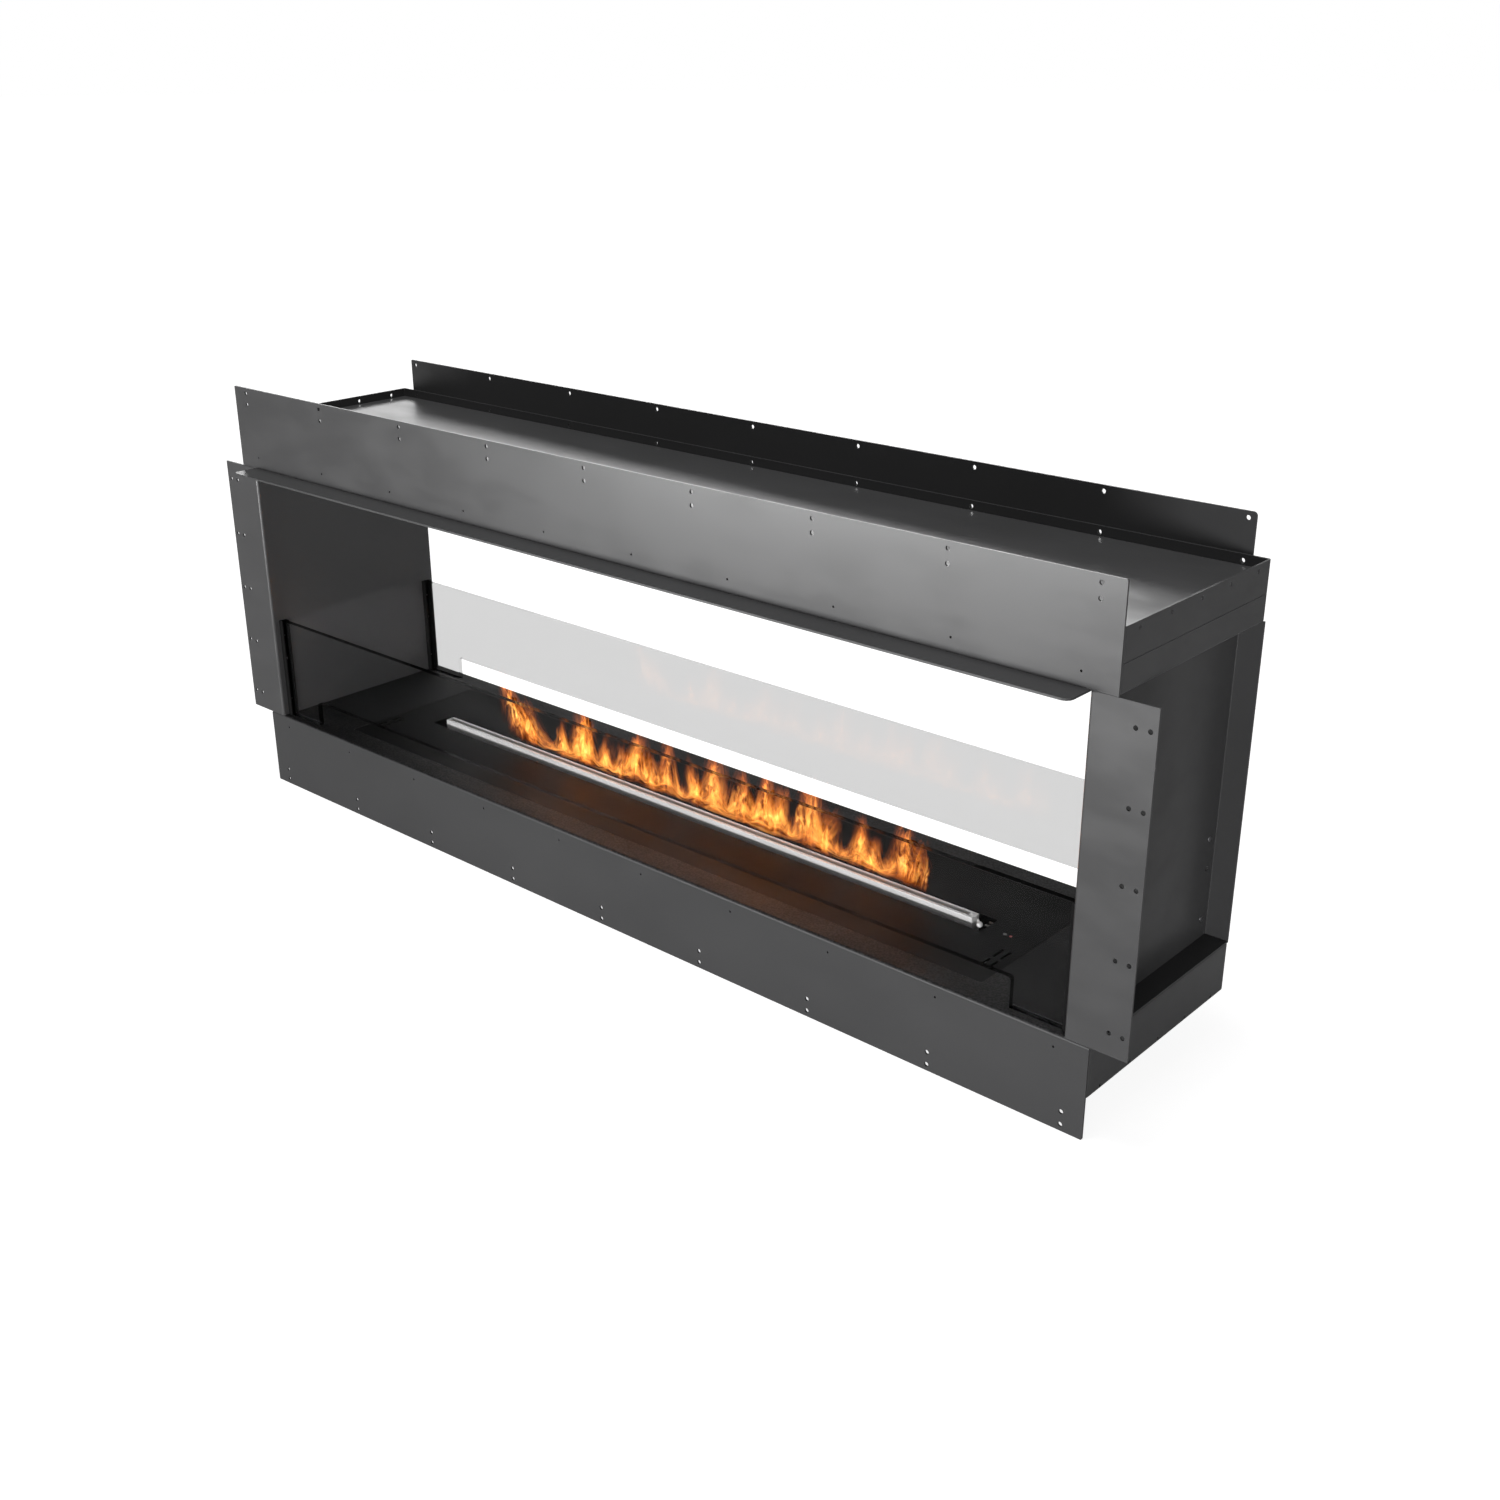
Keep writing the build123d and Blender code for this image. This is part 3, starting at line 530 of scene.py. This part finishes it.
# %% Finish of each solid
finishes = {
    "dark_powder_coat": graphite_coat,
    "black_steel": black_coat,
    "burner_steel": burner_steel,
    "tank_steel": tank_steel,
    "zinc_steel": zinc_steel,
    "galvanised_steel": galvanised_steel,
    "clear_glass": rear_glass,
    "mineral_board": mineral_board,
    "ceramic_wool": ceramic_wool,
    "igniter_ceramic": igniter_ceramic,
    "black_plastic": black_plastic,
    "cell_wrap": cell_wrap,
    "pale_plastic": button_plastic,
    "red_lens": red_lens,
}
own_finish = {
    "burner_top_plate": black_coat,
    "floor_frame": firebox_coat,
    "front_glass": front_glass,
    "panel_screws": black_coat,
}
slot_of = {item["node"]: item["material_slot"] for item in frame["record"]["subparts"]}
for node_name, solid in frame["nodes"].items():
    finish = own_finish.get(node_name, finishes[slot_of[node_name]])
    if not solid.material_slots:
        solid.data.materials.append(finish)
    for slot in solid.material_slots:
        slot.material = finish
print("finished", len(slot_of), "solids")

# %% [markdown]
# The photograph shows the burner as two narrow bright rims with an open slot between them, and low glass
# holders. The imported lips are wider and nearly meet, and the imported holders are deeper, so the scene
# makes these pieces itself. Carving them out of blocks would need many cuts, and each is one or more flat
# outlines, pushed along a straight line. The imported solids stay in the simulation, hidden.

# %% Outlines and pushing
bore_steps = 24


def arc(y, z, radius, first, last, steps):
    """Return points on an arc, from one angle in degrees to another."""
    angles = [math.radians(first + (last - first) * step / steps) for step in range(steps + 1)]
    return [(y + radius * math.cos(angle), z + radius * math.sin(angle)) for angle in angles]


def bored(outline, y, z, radius):
    """Return an outline that starts and ends at its lowest middle point and runs round a bore on the way."""
    return outline + outline[:1] + arc(y, z, radius, 270, -90, bore_steps)


def push(bm, corners, travel):
    """Add a flat outline of 3-D corners, pushed along a straight line."""
    face = bm.faces.new([bm.verts.new(corner) for corner in corners])
    pushed = bmesh.ops.extrude_face_region(bm, geom=[face])["geom"]
    moved = [item for item in pushed if isinstance(item, bmesh.types.BMVert)]
    bmesh.ops.translate(bm, verts=moved, vec=travel)


def stand_for(node, name, bm, body, finish):
    """Turn a finished mesh into a piece on a body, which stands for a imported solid."""
    bmesh.ops.recalc_face_normals(bm, faces=bm.faces)
    mesh = bpy.data.meshes.new(name)
    bm.to_mesh(mesh)
    bm.free()
    piece = bpy.data.objects.new(name, mesh)
    bpy.context.collection.objects.link(piece)
    piece.data.materials.append(finish)
    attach(piece, body)
    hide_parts(node)


print("quarter arc of", len(arc(0.0, 0.0, 1.0, 0, 90, 6)), "points")

# %% [markdown]
# Each end of a screen stands in a shallow upright channel that is fixed to the side wall. Its web lies on
# the wall and its two legs hold the glass. The wall side, the middle and the height come from the packed
# holder that the piece stands for, so a new holder always fits its screen.

# %% Glass holders
holder_leg = 6.5 * mm
holder_sheet = 1.5 * mm
holder_hole = 2.5 * mm
hole_height = 73.0 * mm


def build_holder(node):
    """Make a shallow upright channel with a hole in its web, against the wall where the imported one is."""
    low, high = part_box(node)
    wall, out = (high.x, -1) if high.x > 0 else (low.x, 1)
    leg = out * (holder_leg - holder_sheet)
    y = (low.y + high.y) / 2
    bm = bmesh.new()
    outline = [(y, low.z), (high.y, low.z), (high.y, high.z), (low.y, high.z), (low.y, low.z)]
    web = bored(outline, y, low.z + hole_height, holder_hole)
    push(bm, [(wall, y, z) for y, z in web], (out * holder_sheet, 0.0, 0.0))
    start = wall + out * holder_sheet
    for first, last in ((low.y, low.y + holder_sheet), (high.y - holder_sheet, high.y)):
        corners = [(start, first, low.z), (start, last, low.z), (start, last, high.z), (start, first, high.z)]
        push(bm, corners, (leg, 0.0, 0.0))
    stand_for(node, node.replace("glass_holder", "low_holder"), bm, "casing", black_coat)


holder_nodes = [node for node in slot_of if node.endswith("glass_holder")]
for node_name in holder_nodes:
    build_holder(node_name)
print("made", len(holder_nodes), "holders")

# %% [markdown]
# A rim is thin sheet folded over at its top and hemmed down into the slot. The end plates close both rims
# and bear the shaft of the flap that puts the fire out. All are long pieces with one section, so each
# section is written once from named sizes and pushed along the burner.

# %% Sizes of the rims
rim_width = 3.5 * mm
rim_slot = 5.2 * mm
rim_rise = 5.2 * mm
rim_sheet = 1.2 * mm
rim_hem = 6.0 * mm
rim_round = 0.8 * mm
round_steps = 6
end_plate = 2.0 * mm
bridge = 7.0 * mm
play = 0.3 * mm
flap_sheet = 1.0 * mm
shaft_radius = 1.5 * mm
bore_radius = 1.6 * mm
lip_low, lip_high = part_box("front_burner_lip")
flap_low, flap_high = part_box("shutter_flap")
slot_y = (flap_low.y + flap_high.y) / 2
shutter_z = (flap_low.z + flap_high.z) / 2
rim_bottom = lip_low.z
rim_end = lip_high.x
rim_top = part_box("burner_top_plate")[1].z + rim_rise
rim_reach = rim_slot / 2 + rim_width
hem_bottom = rim_top - rim_hem
print("rims", round(2 * rim_reach / mm, 1), "mm wide, top at", round(rim_top, 4))

# %% Burner sections
def burner_piece(name, node, parts, body, finish):
    """Make a piece of (section, start, stop) parts along X, with y counted from the slot."""
    bm = bmesh.new()
    for section, start, stop in parts:
        push(bm, [(start, slot_y + y, z) for y, z in section], (stop - start, 0.0, 0.0))
    stand_for(node, name, bm, body, finish)


def rectangle(half_width, bottom, top):
    """Return a rectangle that is centred on the slot."""
    return [(-half_width, bottom), (half_width, bottom), (half_width, top), (-half_width, top)]


def rim_section(side):
    """Return the section of a rim: a sheet folded over at its top and hemmed down into the slot."""
    inner = rim_slot / 2
    points = [(rim_reach, rim_bottom)]
    points += arc(rim_reach - rim_round, rim_top - rim_round, rim_round, 0, 90, round_steps)
    points += arc(inner + rim_round, rim_top - rim_round, rim_round, 90, 180, round_steps)
    points += [(inner, hem_bottom), (inner + rim_sheet, hem_bottom), (inner + rim_sheet, rim_top - rim_sheet)]
    points += [(rim_reach - rim_sheet, rim_top - rim_sheet), (rim_reach - rim_sheet, rim_bottom)]
    return [(side * y, z) for y, z in points]


def end_section():
    """Return the section of an end plate, which fills the slot and has the shaft's bore."""
    half = rim_reach - rim_sheet
    web = rim_slot / 2
    shoulder = hem_bottom - play
    points = [(0.0, rim_bottom), (half, rim_bottom), (half, shoulder), (web, shoulder), (web, rim_top)]
    points += [(-web, rim_top), (-web, shoulder), (-half, shoulder), (-half, rim_bottom)]
    return bored(points, 0.0, shutter_z, bore_radius)


def flap_parts():
    """Return the two blades of the flap and its shaft."""
    reach = rim_reach - rim_sheet - play
    blade_end = rim_end - end_plate - play
    half = flap_sheet / 2
    blades = rectangle(half, shutter_z - reach, shutter_z + reach)
    shaft = arc(0.0, shutter_z, shaft_radius, 0, 345, 23)
    return [(blades, -blade_end, blade_end), (shaft, -rim_end, rim_end)]


print("flap of", len(flap_parts()), "parts")

# %% [markdown]
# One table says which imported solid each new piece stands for, and from where to where its sections are
# pushed. Only the right end has a bridge over the slot. The flap rides on the shutter, so it turns with
# its crank.

# %% Rims, ends and flap
plate_start = rim_end - end_plate
bridge_section = rectangle(rim_slot / 2, rim_top - rim_sheet, rim_top)
burner_parts = {
    "front_burner_rim": ("front_burner_lip", [(rim_section(-1), -rim_end, rim_end)]),
    "rear_burner_rim": ("rear_burner_lip", [(rim_section(1), -rim_end, rim_end)]),
    "left_rim_end": ("left_lip_end", [(end_section(), -rim_end, -plate_start)]),
    "right_rim_end": (
        "right_lip_end",
        [(end_section(), plate_start, rim_end), (bridge_section, rim_end - bridge, plate_start)],
    ),
}
for piece_name, (node_name, parts) in burner_parts.items():
    burner_piece(piece_name, node_name, parts, "burner_unit", burner_steel)
burner_piece("shutter_blades", "shutter_flap", flap_parts(), "shutter", tank_steel)
print("made", len(burner_parts) + 1, "burner pieces")

# %% [markdown]
# Flames are glowing gas, so they are not in the model. The fire is a low curtain along the slot with
# tongues above it. A smoke volume could draw it too, but it renders slowly and can't be exported, so thin
# sheets do. Each tongue is its place along the slot, its height and its lean in millimetres, after the
# photograph.

# %% Places of the flames
flame_root = rim_top
tongues = [
    (-262, 100, -38), (-240, 66, -22), (-190, 50, -2), (-158, 88, 4), (-146, 70, 6),
    (-118, 48, 6), (-92, 46, 4), (-70, 84, 16), (-42, 50, -6), (-20, 80, 6),
    (24, 60, -6), (52, 88, 3), (92, 74, -4), (122, 86, 6), (142, 74, 14),
    (186, 92, 4), (206, 58, 12), (252, 66, 2), (268, 44, 10),
    (310, 84, -2), (326, 66, 6),
]
fire_start = -284
fire_end = 340
low_fire = 15
fire_gap = 7
random.seed(7)


def new_fire(name, bm):
    """Return an object made of a finished fire mesh, with smooth faces."""
    mesh = bpy.data.meshes.new(name)
    bm.to_mesh(mesh)
    bm.free()
    for face in mesh.polygons:
        face.use_smooth = True
    piece = bpy.data.objects.new(name, mesh)
    bpy.context.collection.objects.link(piece)
    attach(piece, "burner_unit")
    return piece


print(len(tongues), "tongues over", fire_end - fire_start, "mm")

# %% [markdown]
# The curtain is a few long thin sheets, one behind the other. Each starts as a flat grid whose rows are
# spread up to the height of the nearest tongue, then waved and leaned, so its upper edge follows the
# tongues.

# %% Flame curtain
curtain_sheets = 5
curtain_columns = 208
curtain_rows = 16
curtain_gap = 1.5
tongue_spread = 0.18
tongue_share = 0.85
lean_bend = 1.6
wave_reach = 3.0
wave_length = 17.0
sway_reach = 6.0
sway_length = 23.0
sway_twist = 2.4


def share_of(tongue, x):
    """Return how much of a tongue stands at x: one in its middle and nothing far away."""
    place, height, lean = tongue
    return math.exp(-((x - place) / (tongue_spread * height)) ** 2)


def curtain_top(x):
    """Return the curtain's height at x and how far it leans there, in millimetres."""
    tallest = max(tongues, key=lambda tongue: tongue[1] * share_of(tongue, x))
    share = share_of(tallest, x)
    return low_fire + tongue_share * tallest[1] * share, tallest[2] * share


def build_curtain():
    """Return one object with the long sheets of the curtain."""
    bm = bmesh.new()
    bm.loops.layers.uv.new("UVMap")
    for number in range(curtain_sheets):
        made = bmesh.ops.create_grid(
            bm, x_segments=curtain_columns, y_segments=curtain_rows, size=0.5, calc_uvs=True
        )
        phase = random.uniform(0.0, math.tau)
        shift = random.uniform(-5.0, 5.0)
        reach = random.uniform(0.8, 1.05)
        offset = curtain_gap * (number - (curtain_sheets - 1) / 2)
        for vertex in made["verts"]:
            along = fire_start + (fire_end - fire_start) * (vertex.co.x + 0.5)
            up = vertex.co.y + 0.5
            height, lean = curtain_top(along + shift)
            wave = wave_reach * up * math.sin(along / wave_length + phase)
            sway = sway_reach * up * math.sin(along / sway_length + sway_twist * up + phase)
            vertex.co = Vector((
                (along + lean * up ** lean_bend + sway) * mm,
                slot_y + (offset + wave) * mm,
                flame_root + (fire_gap + height * reach * up) * mm,
            ))
    return new_fire("flame_curtain", bm)


flame_curtain = build_curtain()
print("curtain", len(flame_curtain.data.polygons), "faces")

# %% [markdown]
# A tongue twists and curls as it rises. One sheet would vanish when it is seen edge on, so three sheets
# cross in each tongue, and it has body from all sides. Its pointed shape is drawn by the material, not
# cut into the mesh.

# %% Flame tongues
sheets_in_tongue = 3
tongue_rows = 22
tongue_columns = 8
tongue_twist = 0.9
tongue_curl = 2.6
depth_share = 0.45
curl_depth_share = 0.4


def tongue_sheet(bm, x, height, lean, turn, width, sway):
    """Add one bent and twisted sheet of a tongue to the mesh."""
    made = bmesh.ops.create_grid(
        bm, x_segments=tongue_columns, y_segments=tongue_rows, size=0.5, calc_uvs=True
    )
    phase = random.uniform(0.0, math.tau)
    for vertex in made["verts"]:
        across = vertex.co.x
        up = vertex.co.y + 0.5
        angle = turn + tongue_twist * up
        curl = sway * up * math.sin(tongue_curl * up * math.pi / 2 + phase)
        vertex.co = Vector((
            x + lean * up ** lean_bend + across * width * math.cos(angle) + curl,
            slot_y + across * width * math.sin(angle) * depth_share + curl * curl_depth_share,
            flame_root + height * up,
        ))


def build_tongues():
    """Return one object with every tongue of flame."""
    bm = bmesh.new()
    bm.loops.layers.uv.new("UVMap")
    for x, height, lean in tongues:
        for number in range(sheets_in_tongue):
            turn = math.pi * number / sheets_in_tongue + random.uniform(-0.3, 0.3)
            reach = random.uniform(0.85, 1.05)
            offset = random.uniform(-5.0, 5.0)
            width = random.uniform(0.45, 0.6) * height
            tongue_sheet(
                bm, (x + offset) * mm, height * reach * mm, lean * mm, turn, width * mm, 5 * mm
            )
    return new_fire("flame_tongues", bm)


flame_tongues = build_tongues()
print("tongues", len(flame_tongues.data.polygons), "faces")

# %% [markdown]
# Fire adds its own light to what lies behind it and hides nothing. A very low Alpha with a strong
# emission does that: the flame is vivid against the dark floor and almost vanishes against a white wall.
# Both kinds of sheet draw a mask from 0 to 1 out of their UV map and noise, and one group turns it into
# fire. Where many sheets overlap the orange adds up to a yellow core. A real fire is far brighter than a
# picture can show, so mirrors see it brighter than the camera does. That puts the warm sheen on the black
# sheet in front of the bars.

# %% Group for fire
def make_fire():
    """Group that gives the colour and the alpha of fire for a mask."""
    group, given, out = new_group(
        "fire",
        [("Mask", "number", 0.5), ("Density", "number", 0.1)],
        [("Colour", "colour"), ("Alpha", "number")],
    )
    ramp = add_node(group, "ShaderNodeValToRGB")
    ramp.color_ramp.elements[0].position = 0.05
    ramp.color_ramp.elements[0].color = (0.8, 0.16, 0.03, 1.0)
    ramp.color_ramp.elements[1].position = 0.9
    ramp.color_ramp.elements[1].color = (1.0, 0.5, 0.12, 1.0)
    core = ramp.color_ramp.elements.new(0.45)
    core.color = (1.0, 0.36, 0.06, 1.0)
    group.links.new(given["Mask"], ramp.inputs["Fac"])
    group.links.new(ramp.outputs["Color"], out["Colour"])
    group.links.new(maths(group, "MULTIPLY", given["Mask"], given["Density"]), out["Alpha"])
    return group


fire_glow = make_fire()
fire_strength = 18.0
mirrored_fire = 6.0


def fire_material(name, draw_mask, density):
    """A material of glowing gas whose mask comes from a drawing function."""
    material, tree, shader = new_material(name)
    fire = add_node(tree, "ShaderNodeGroup", node_tree=fire_glow)
    fire.inputs["Density"].default_value = density
    tree.links.new(draw_mask(tree), fire.inputs["Mask"])
    tree.links.new(fire.outputs["Colour"], shader.inputs["Emission Color"])
    tree.links.new(fire.outputs["Alpha"], shader.inputs["Alpha"])
    rays = add_node(tree, "ShaderNodeLightPath")
    mirrored = maths(tree, "SUBTRACT", rays.outputs["Is Glossy Ray"], rays.outputs["Is Transmission Ray"])
    strength = ranged(tree, mirrored, 0.0, 1.0, fire_strength, fire_strength * mirrored_fire)
    tree.links.new(strength, shader.inputs["Emission Strength"])
    shader.inputs["Base Color"].default_value = (0.0, 0.0, 0.0, 1.0)
    shader.inputs["Specular IOR Level"].default_value = 0.0
    shader.inputs["Roughness"].default_value = 1.0
    return material


def uv_parts(tree):
    """Return the two numbers of the piece's UV map."""
    place = add_node(tree, "ShaderNodeUVMap", uv_map="UVMap")
    parts = add_node(tree, "ShaderNodeSeparateXYZ")
    tree.links.new(place.outputs["UV"], parts.inputs[0])
    return parts.outputs["X"], parts.outputs["Y"]


print("made", fire_glow.name)

# %% [markdown]
# Along the curtain the gas rises in upright streaks, and near the slot it lies in long flat wisps. Two
# noises with different cells draw them, and the height fades from one to the other. The noise also reads
# the depth, so the sheets differ. Noise shifts the fade at both ends and at the lower edge, which tears
# them.

# %% Curtain material
def curtain_noise(tree, along, up, cells_along, cells_up):
    """Return noise with so many cells along and up the curtain, different on each of its sheets."""
    gas = add_node(tree, "ShaderNodeTexCoord")
    across = axis_parts(tree, gas.outputs["Object"])["Y"]
    flow = add_node(tree, "ShaderNodeCombineXYZ")
    tree.links.new(maths(tree, "MULTIPLY", along, cells_along), flow.inputs["X"])
    tree.links.new(maths(tree, "MULTIPLY", up, cells_up), flow.inputs["Y"])
    tree.links.new(maths(tree, "MULTIPLY", across, 260.0), flow.inputs["Z"])
    texture = add_node(tree, "ShaderNodeTexNoise", Scale=1.0, Detail=3.0, Distortion=1.3)
    tree.links.new(flow.outputs[0], texture.inputs["Vector"])
    return texture.outputs["Fac"]


def curtain_mask(tree):
    """Draw streaks that rise along the curtain, with long flat wisps at its torn lower edge."""
    along, up = uv_parts(tree)
    upright = curtain_noise(tree, along, up, 52.0, 1.6)
    flat = curtain_noise(tree, along, up, 15.0, 6.0)
    height = ranged(tree, up, 0.08, 0.4, 0.0, 1.0)
    wander = maths(tree, "SUBTRACT", upright, 0.5)
    sag = maths(tree, "SUBTRACT", flat, 0.5)
    root = ranged(tree, maths(tree, "ADD", up, maths(tree, "MULTIPLY", sag, 0.9)), 0.0, 0.26, 0.0, 1.0)
    tip = ranged(tree, maths(tree, "ADD", up, maths(tree, "MULTIPLY", wander, 0.9)), 0.98, 0.2, 0.0, 1.0)
    rising = ranged(tree, upright, 0.43, 0.64, 0.02, 1.0)
    lying = ranged(tree, flat, 0.42, 0.66, 0.05, 0.7)
    falling = maths(tree, "MULTIPLY", lying, maths(tree, "SUBTRACT", 1.0, height))
    threads = maths(tree, "ADD", falling, maths(tree, "MULTIPLY", rising, height))
    middle_gap = maths(tree, "ABSOLUTE", maths(tree, "SUBTRACT", along, 0.5), 0.0)
    frayed = maths(tree, "ADD", middle_gap, maths(tree, "MULTIPLY", sag, 0.3))
    ends = ranged(tree, frayed, 0.49, 0.43, 0.0, 1.0)
    body = maths(tree, "MULTIPLY", maths(tree, "MULTIPLY", root, tip), threads)
    return maths(tree, "MULTIPLY", body, ends)


flame_curtain.data.materials.append(fire_material("flame curtain", curtain_mask, 0.06))

# %% [markdown]
# A tongue of fire is brightest along its middle and torn at its sides. The mask compares the distance
# from the middle with a width that shrinks upwards, and a swirling noise bends that middle and cuts dark
# threads into it.

# %% Tongue material
def tongue_mask(tree):
    """Draw a tongue: soft at its root, widest a third of the way up, torn by noise stretched upwards."""
    across, up = uv_parts(tree)
    gas = add_node(tree, "ShaderNodeTexCoord")
    stretch = add_node(tree, "ShaderNodeMapping", Scale=(1.0, 1.0, 0.4))
    tree.links.new(gas.outputs["Object"], stretch.inputs["Vector"])
    swirl = add_node(tree, "ShaderNodeTexNoise", Scale=85.0, Detail=4.0, Distortion=2.0)
    tree.links.new(stretch.outputs["Vector"], swirl.inputs["Vector"])
    wave = maths(tree, "MULTIPLY", maths(tree, "SUBTRACT", swirl.outputs["Fac"], 0.5), 0.8)
    middle_gap = maths(tree, "SUBTRACT", across, 0.5)
    side = maths(tree, "ABSOLUTE", maths(tree, "ADD", middle_gap, wave), 0.0)
    border = ranged(tree, maths(tree, "ABSOLUTE", middle_gap, 0.0), 0.5, 0.26, 0.0, 1.0)
    half_width = maths(tree, "MULTIPLY", maths(tree, "SUBTRACT", 1.0, up), 0.42)
    ratio = maths(tree, "DIVIDE", side, maths(tree, "ADD", half_width, 0.03))
    body = maths(tree, "MULTIPLY", border, ranged(tree, ratio, 1.0, 0.15, 0.0, 1.0))
    root = ranged(tree, up, 0.08, 0.36, 0.0, 1.0)
    tip = ranged(tree, up, 1.0, 0.4, 0.0, 1.0)
    threads = ranged(tree, swirl.outputs["Fac"], 0.42, 0.62, 0.05, 1.0)
    return maths(tree, "MULTIPLY", maths(tree, "MULTIPLY", body, threads), maths(tree, "MULTIPLY", root, tip))


flame_tongues.data.materials.append(fire_material("flame tongues", tongue_mask, 0.08))

# %% [markdown]
# The studio is a pale floor, a world that lights evenly from all round, and six soft lamps. Light Path
# makes the floor and the world white to the camera, also through glass, and dim to mirrors, so the metal
# isn't flooded with light. The floor adds its own glow to the lamps' light, so it is white where it is
# lit and a little grey in the shadow. Its glow is painted dimmer within a metre of the fireplace and rises
# to full at three metres: a painted shade round the fireplace that lets its shadow show.

# %% Studio floor
mirror_share = 0.08
shadow_white = 0.9


def white_to_camera(tree):
    """Return 1 for what the camera sees, straight or through glass, and a small share for mirrors."""
    rays = add_node(tree, "ShaderNodeLightPath")
    bounces = maths(tree, "ADD", rays.outputs["Diffuse Depth"], rays.outputs["Glossy Depth"])
    straight = maths(tree, "LESS_THAN", bounces, 0.5)
    through = maths(tree, "MULTIPLY", rays.outputs["Is Transmission Ray"], straight)
    seen = maths(tree, "MAXIMUM", rays.outputs["Is Camera Ray"], through)
    mirrored = maths(tree, "MULTIPLY", rays.outputs["Is Glossy Ray"], mirror_share)
    return maths(tree, "MAXIMUM", seen, mirrored)


def build_floor():
    """Make the round floor that the fireplace stands on."""
    bm = bmesh.new()
    bmesh.ops.create_circle(bm, cap_ends=True, segments=64, radius=30.0)
    mesh = bpy.data.meshes.new("studio_floor")
    bm.to_mesh(mesh)
    bm.free()
    mesh.transform(Matrix.Translation((0.0, 0.0, cad_box[0].z)))
    floor = bpy.data.objects.new("studio_floor", mesh)
    bpy.context.collection.objects.link(floor)
    material, tree, shader = new_material("pale studio floor")
    shader.inputs["Roughness"].default_value = 0.9
    shader.inputs["Base Color"].default_value = (0.42, 0.42, 0.42, 1.0)
    shader.inputs["Specular IOR Level"].default_value = 0.0
    shader.inputs["Emission Color"].default_value = (1.0, 1.0, 1.0, 1.0)
    place = add_node(tree, "ShaderNodeTexCoord")
    distance = add_node(tree, "ShaderNodeVectorMath", operation="LENGTH")
    tree.links.new(place.outputs["Object"], distance.inputs[0])
    # The glow is dimmed near the fireplace as painted shade.
    glow = ranged(tree, distance.outputs["Value"], 1.0, 3.0, shadow_white, 1.0)
    tree.links.new(maths(tree, "MULTIPLY", white_to_camera(tree), glow), shader.inputs["Emission Strength"])
    floor.data.materials.append(material)


build_floor()
print("floor at", round(cad_box[0].z, 4))

# %% [markdown]
# A studio lights folded sheet with large soft boxes, because small lamps would show as hard spots in the
# coat. Lamps marked gloss_only draw a sheen and add no light, and the rear lamp makes the fireplace
# readable from behind. Each lamp has a place, a point that it faces, a width and a height in metres, and
# a power in watts.

# %% World and lamps
world_level = 0.125


def build_world(level):
    """Even grey light from all round, seen as white."""
    world = bpy.data.worlds.new("studio")
    world.use_nodes = True
    tree = world.node_tree
    background = tree.nodes["Background"]
    background.inputs["Color"].default_value = (1.0, 1.0, 1.0, 1.0)
    strength = ranged(tree, white_to_camera(tree), 0.0, 1.0, level, 1.0)
    tree.links.new(strength, background.inputs["Strength"])
    bpy.context.scene.world = world


def add_softbox(name, place, target, size, watts, gloss_only=False):
    """Add a soft lamp of a width and a height that faces a point."""
    data = bpy.data.lights.new(name, "AREA")
    data.shape = "RECTANGLE"
    data.size, data.size_y = size
    data.energy = watts
    lamp = bpy.data.objects.new(name, data)
    lamp.location = place
    lamp.rotation_mode = "QUATERNION"
    lamp.rotation_quaternion = (Vector(target) - Vector(place)).to_track_quat("-Z", "Y")
    lamp.visible_diffuse = not gloss_only
    bpy.context.collection.objects.link(lamp)


build_world(world_level)
add_softbox("front_lamp", (-0.8, -5.0, -0.02), (0.0, 0.0, 0.0), (2.0, 0.42), 118.0)
add_softbox("sheen_lamp", (-0.88, -2.2, -0.06), (0.25, 0.0, 0.1), (1.7, 0.36), 88.0, gloss_only=True)
add_softbox("top_lamp", (-0.2, -0.3, 4.5), (0.0, 0.1, 0.2), (1.6, 1.6), 108.0)
add_softbox("side_lamp", (2.4, -3.6, -0.05), (0.6, 0.1, 0.0), (1.2, 0.38), 90.0)
add_softbox("rear_lamp", (0.2, 5.2, 0.05), (0.0, 0.25, 0.0), (2.0, 0.42), 60.0)
add_softbox("back_lamp", (-2.2, 2.4, 1.3), (0.0, 0.12, -0.15), (3.0, 0.8), 42.0, gloss_only=True)
bpy.context.scene.view_settings.view_transform = "Standard"
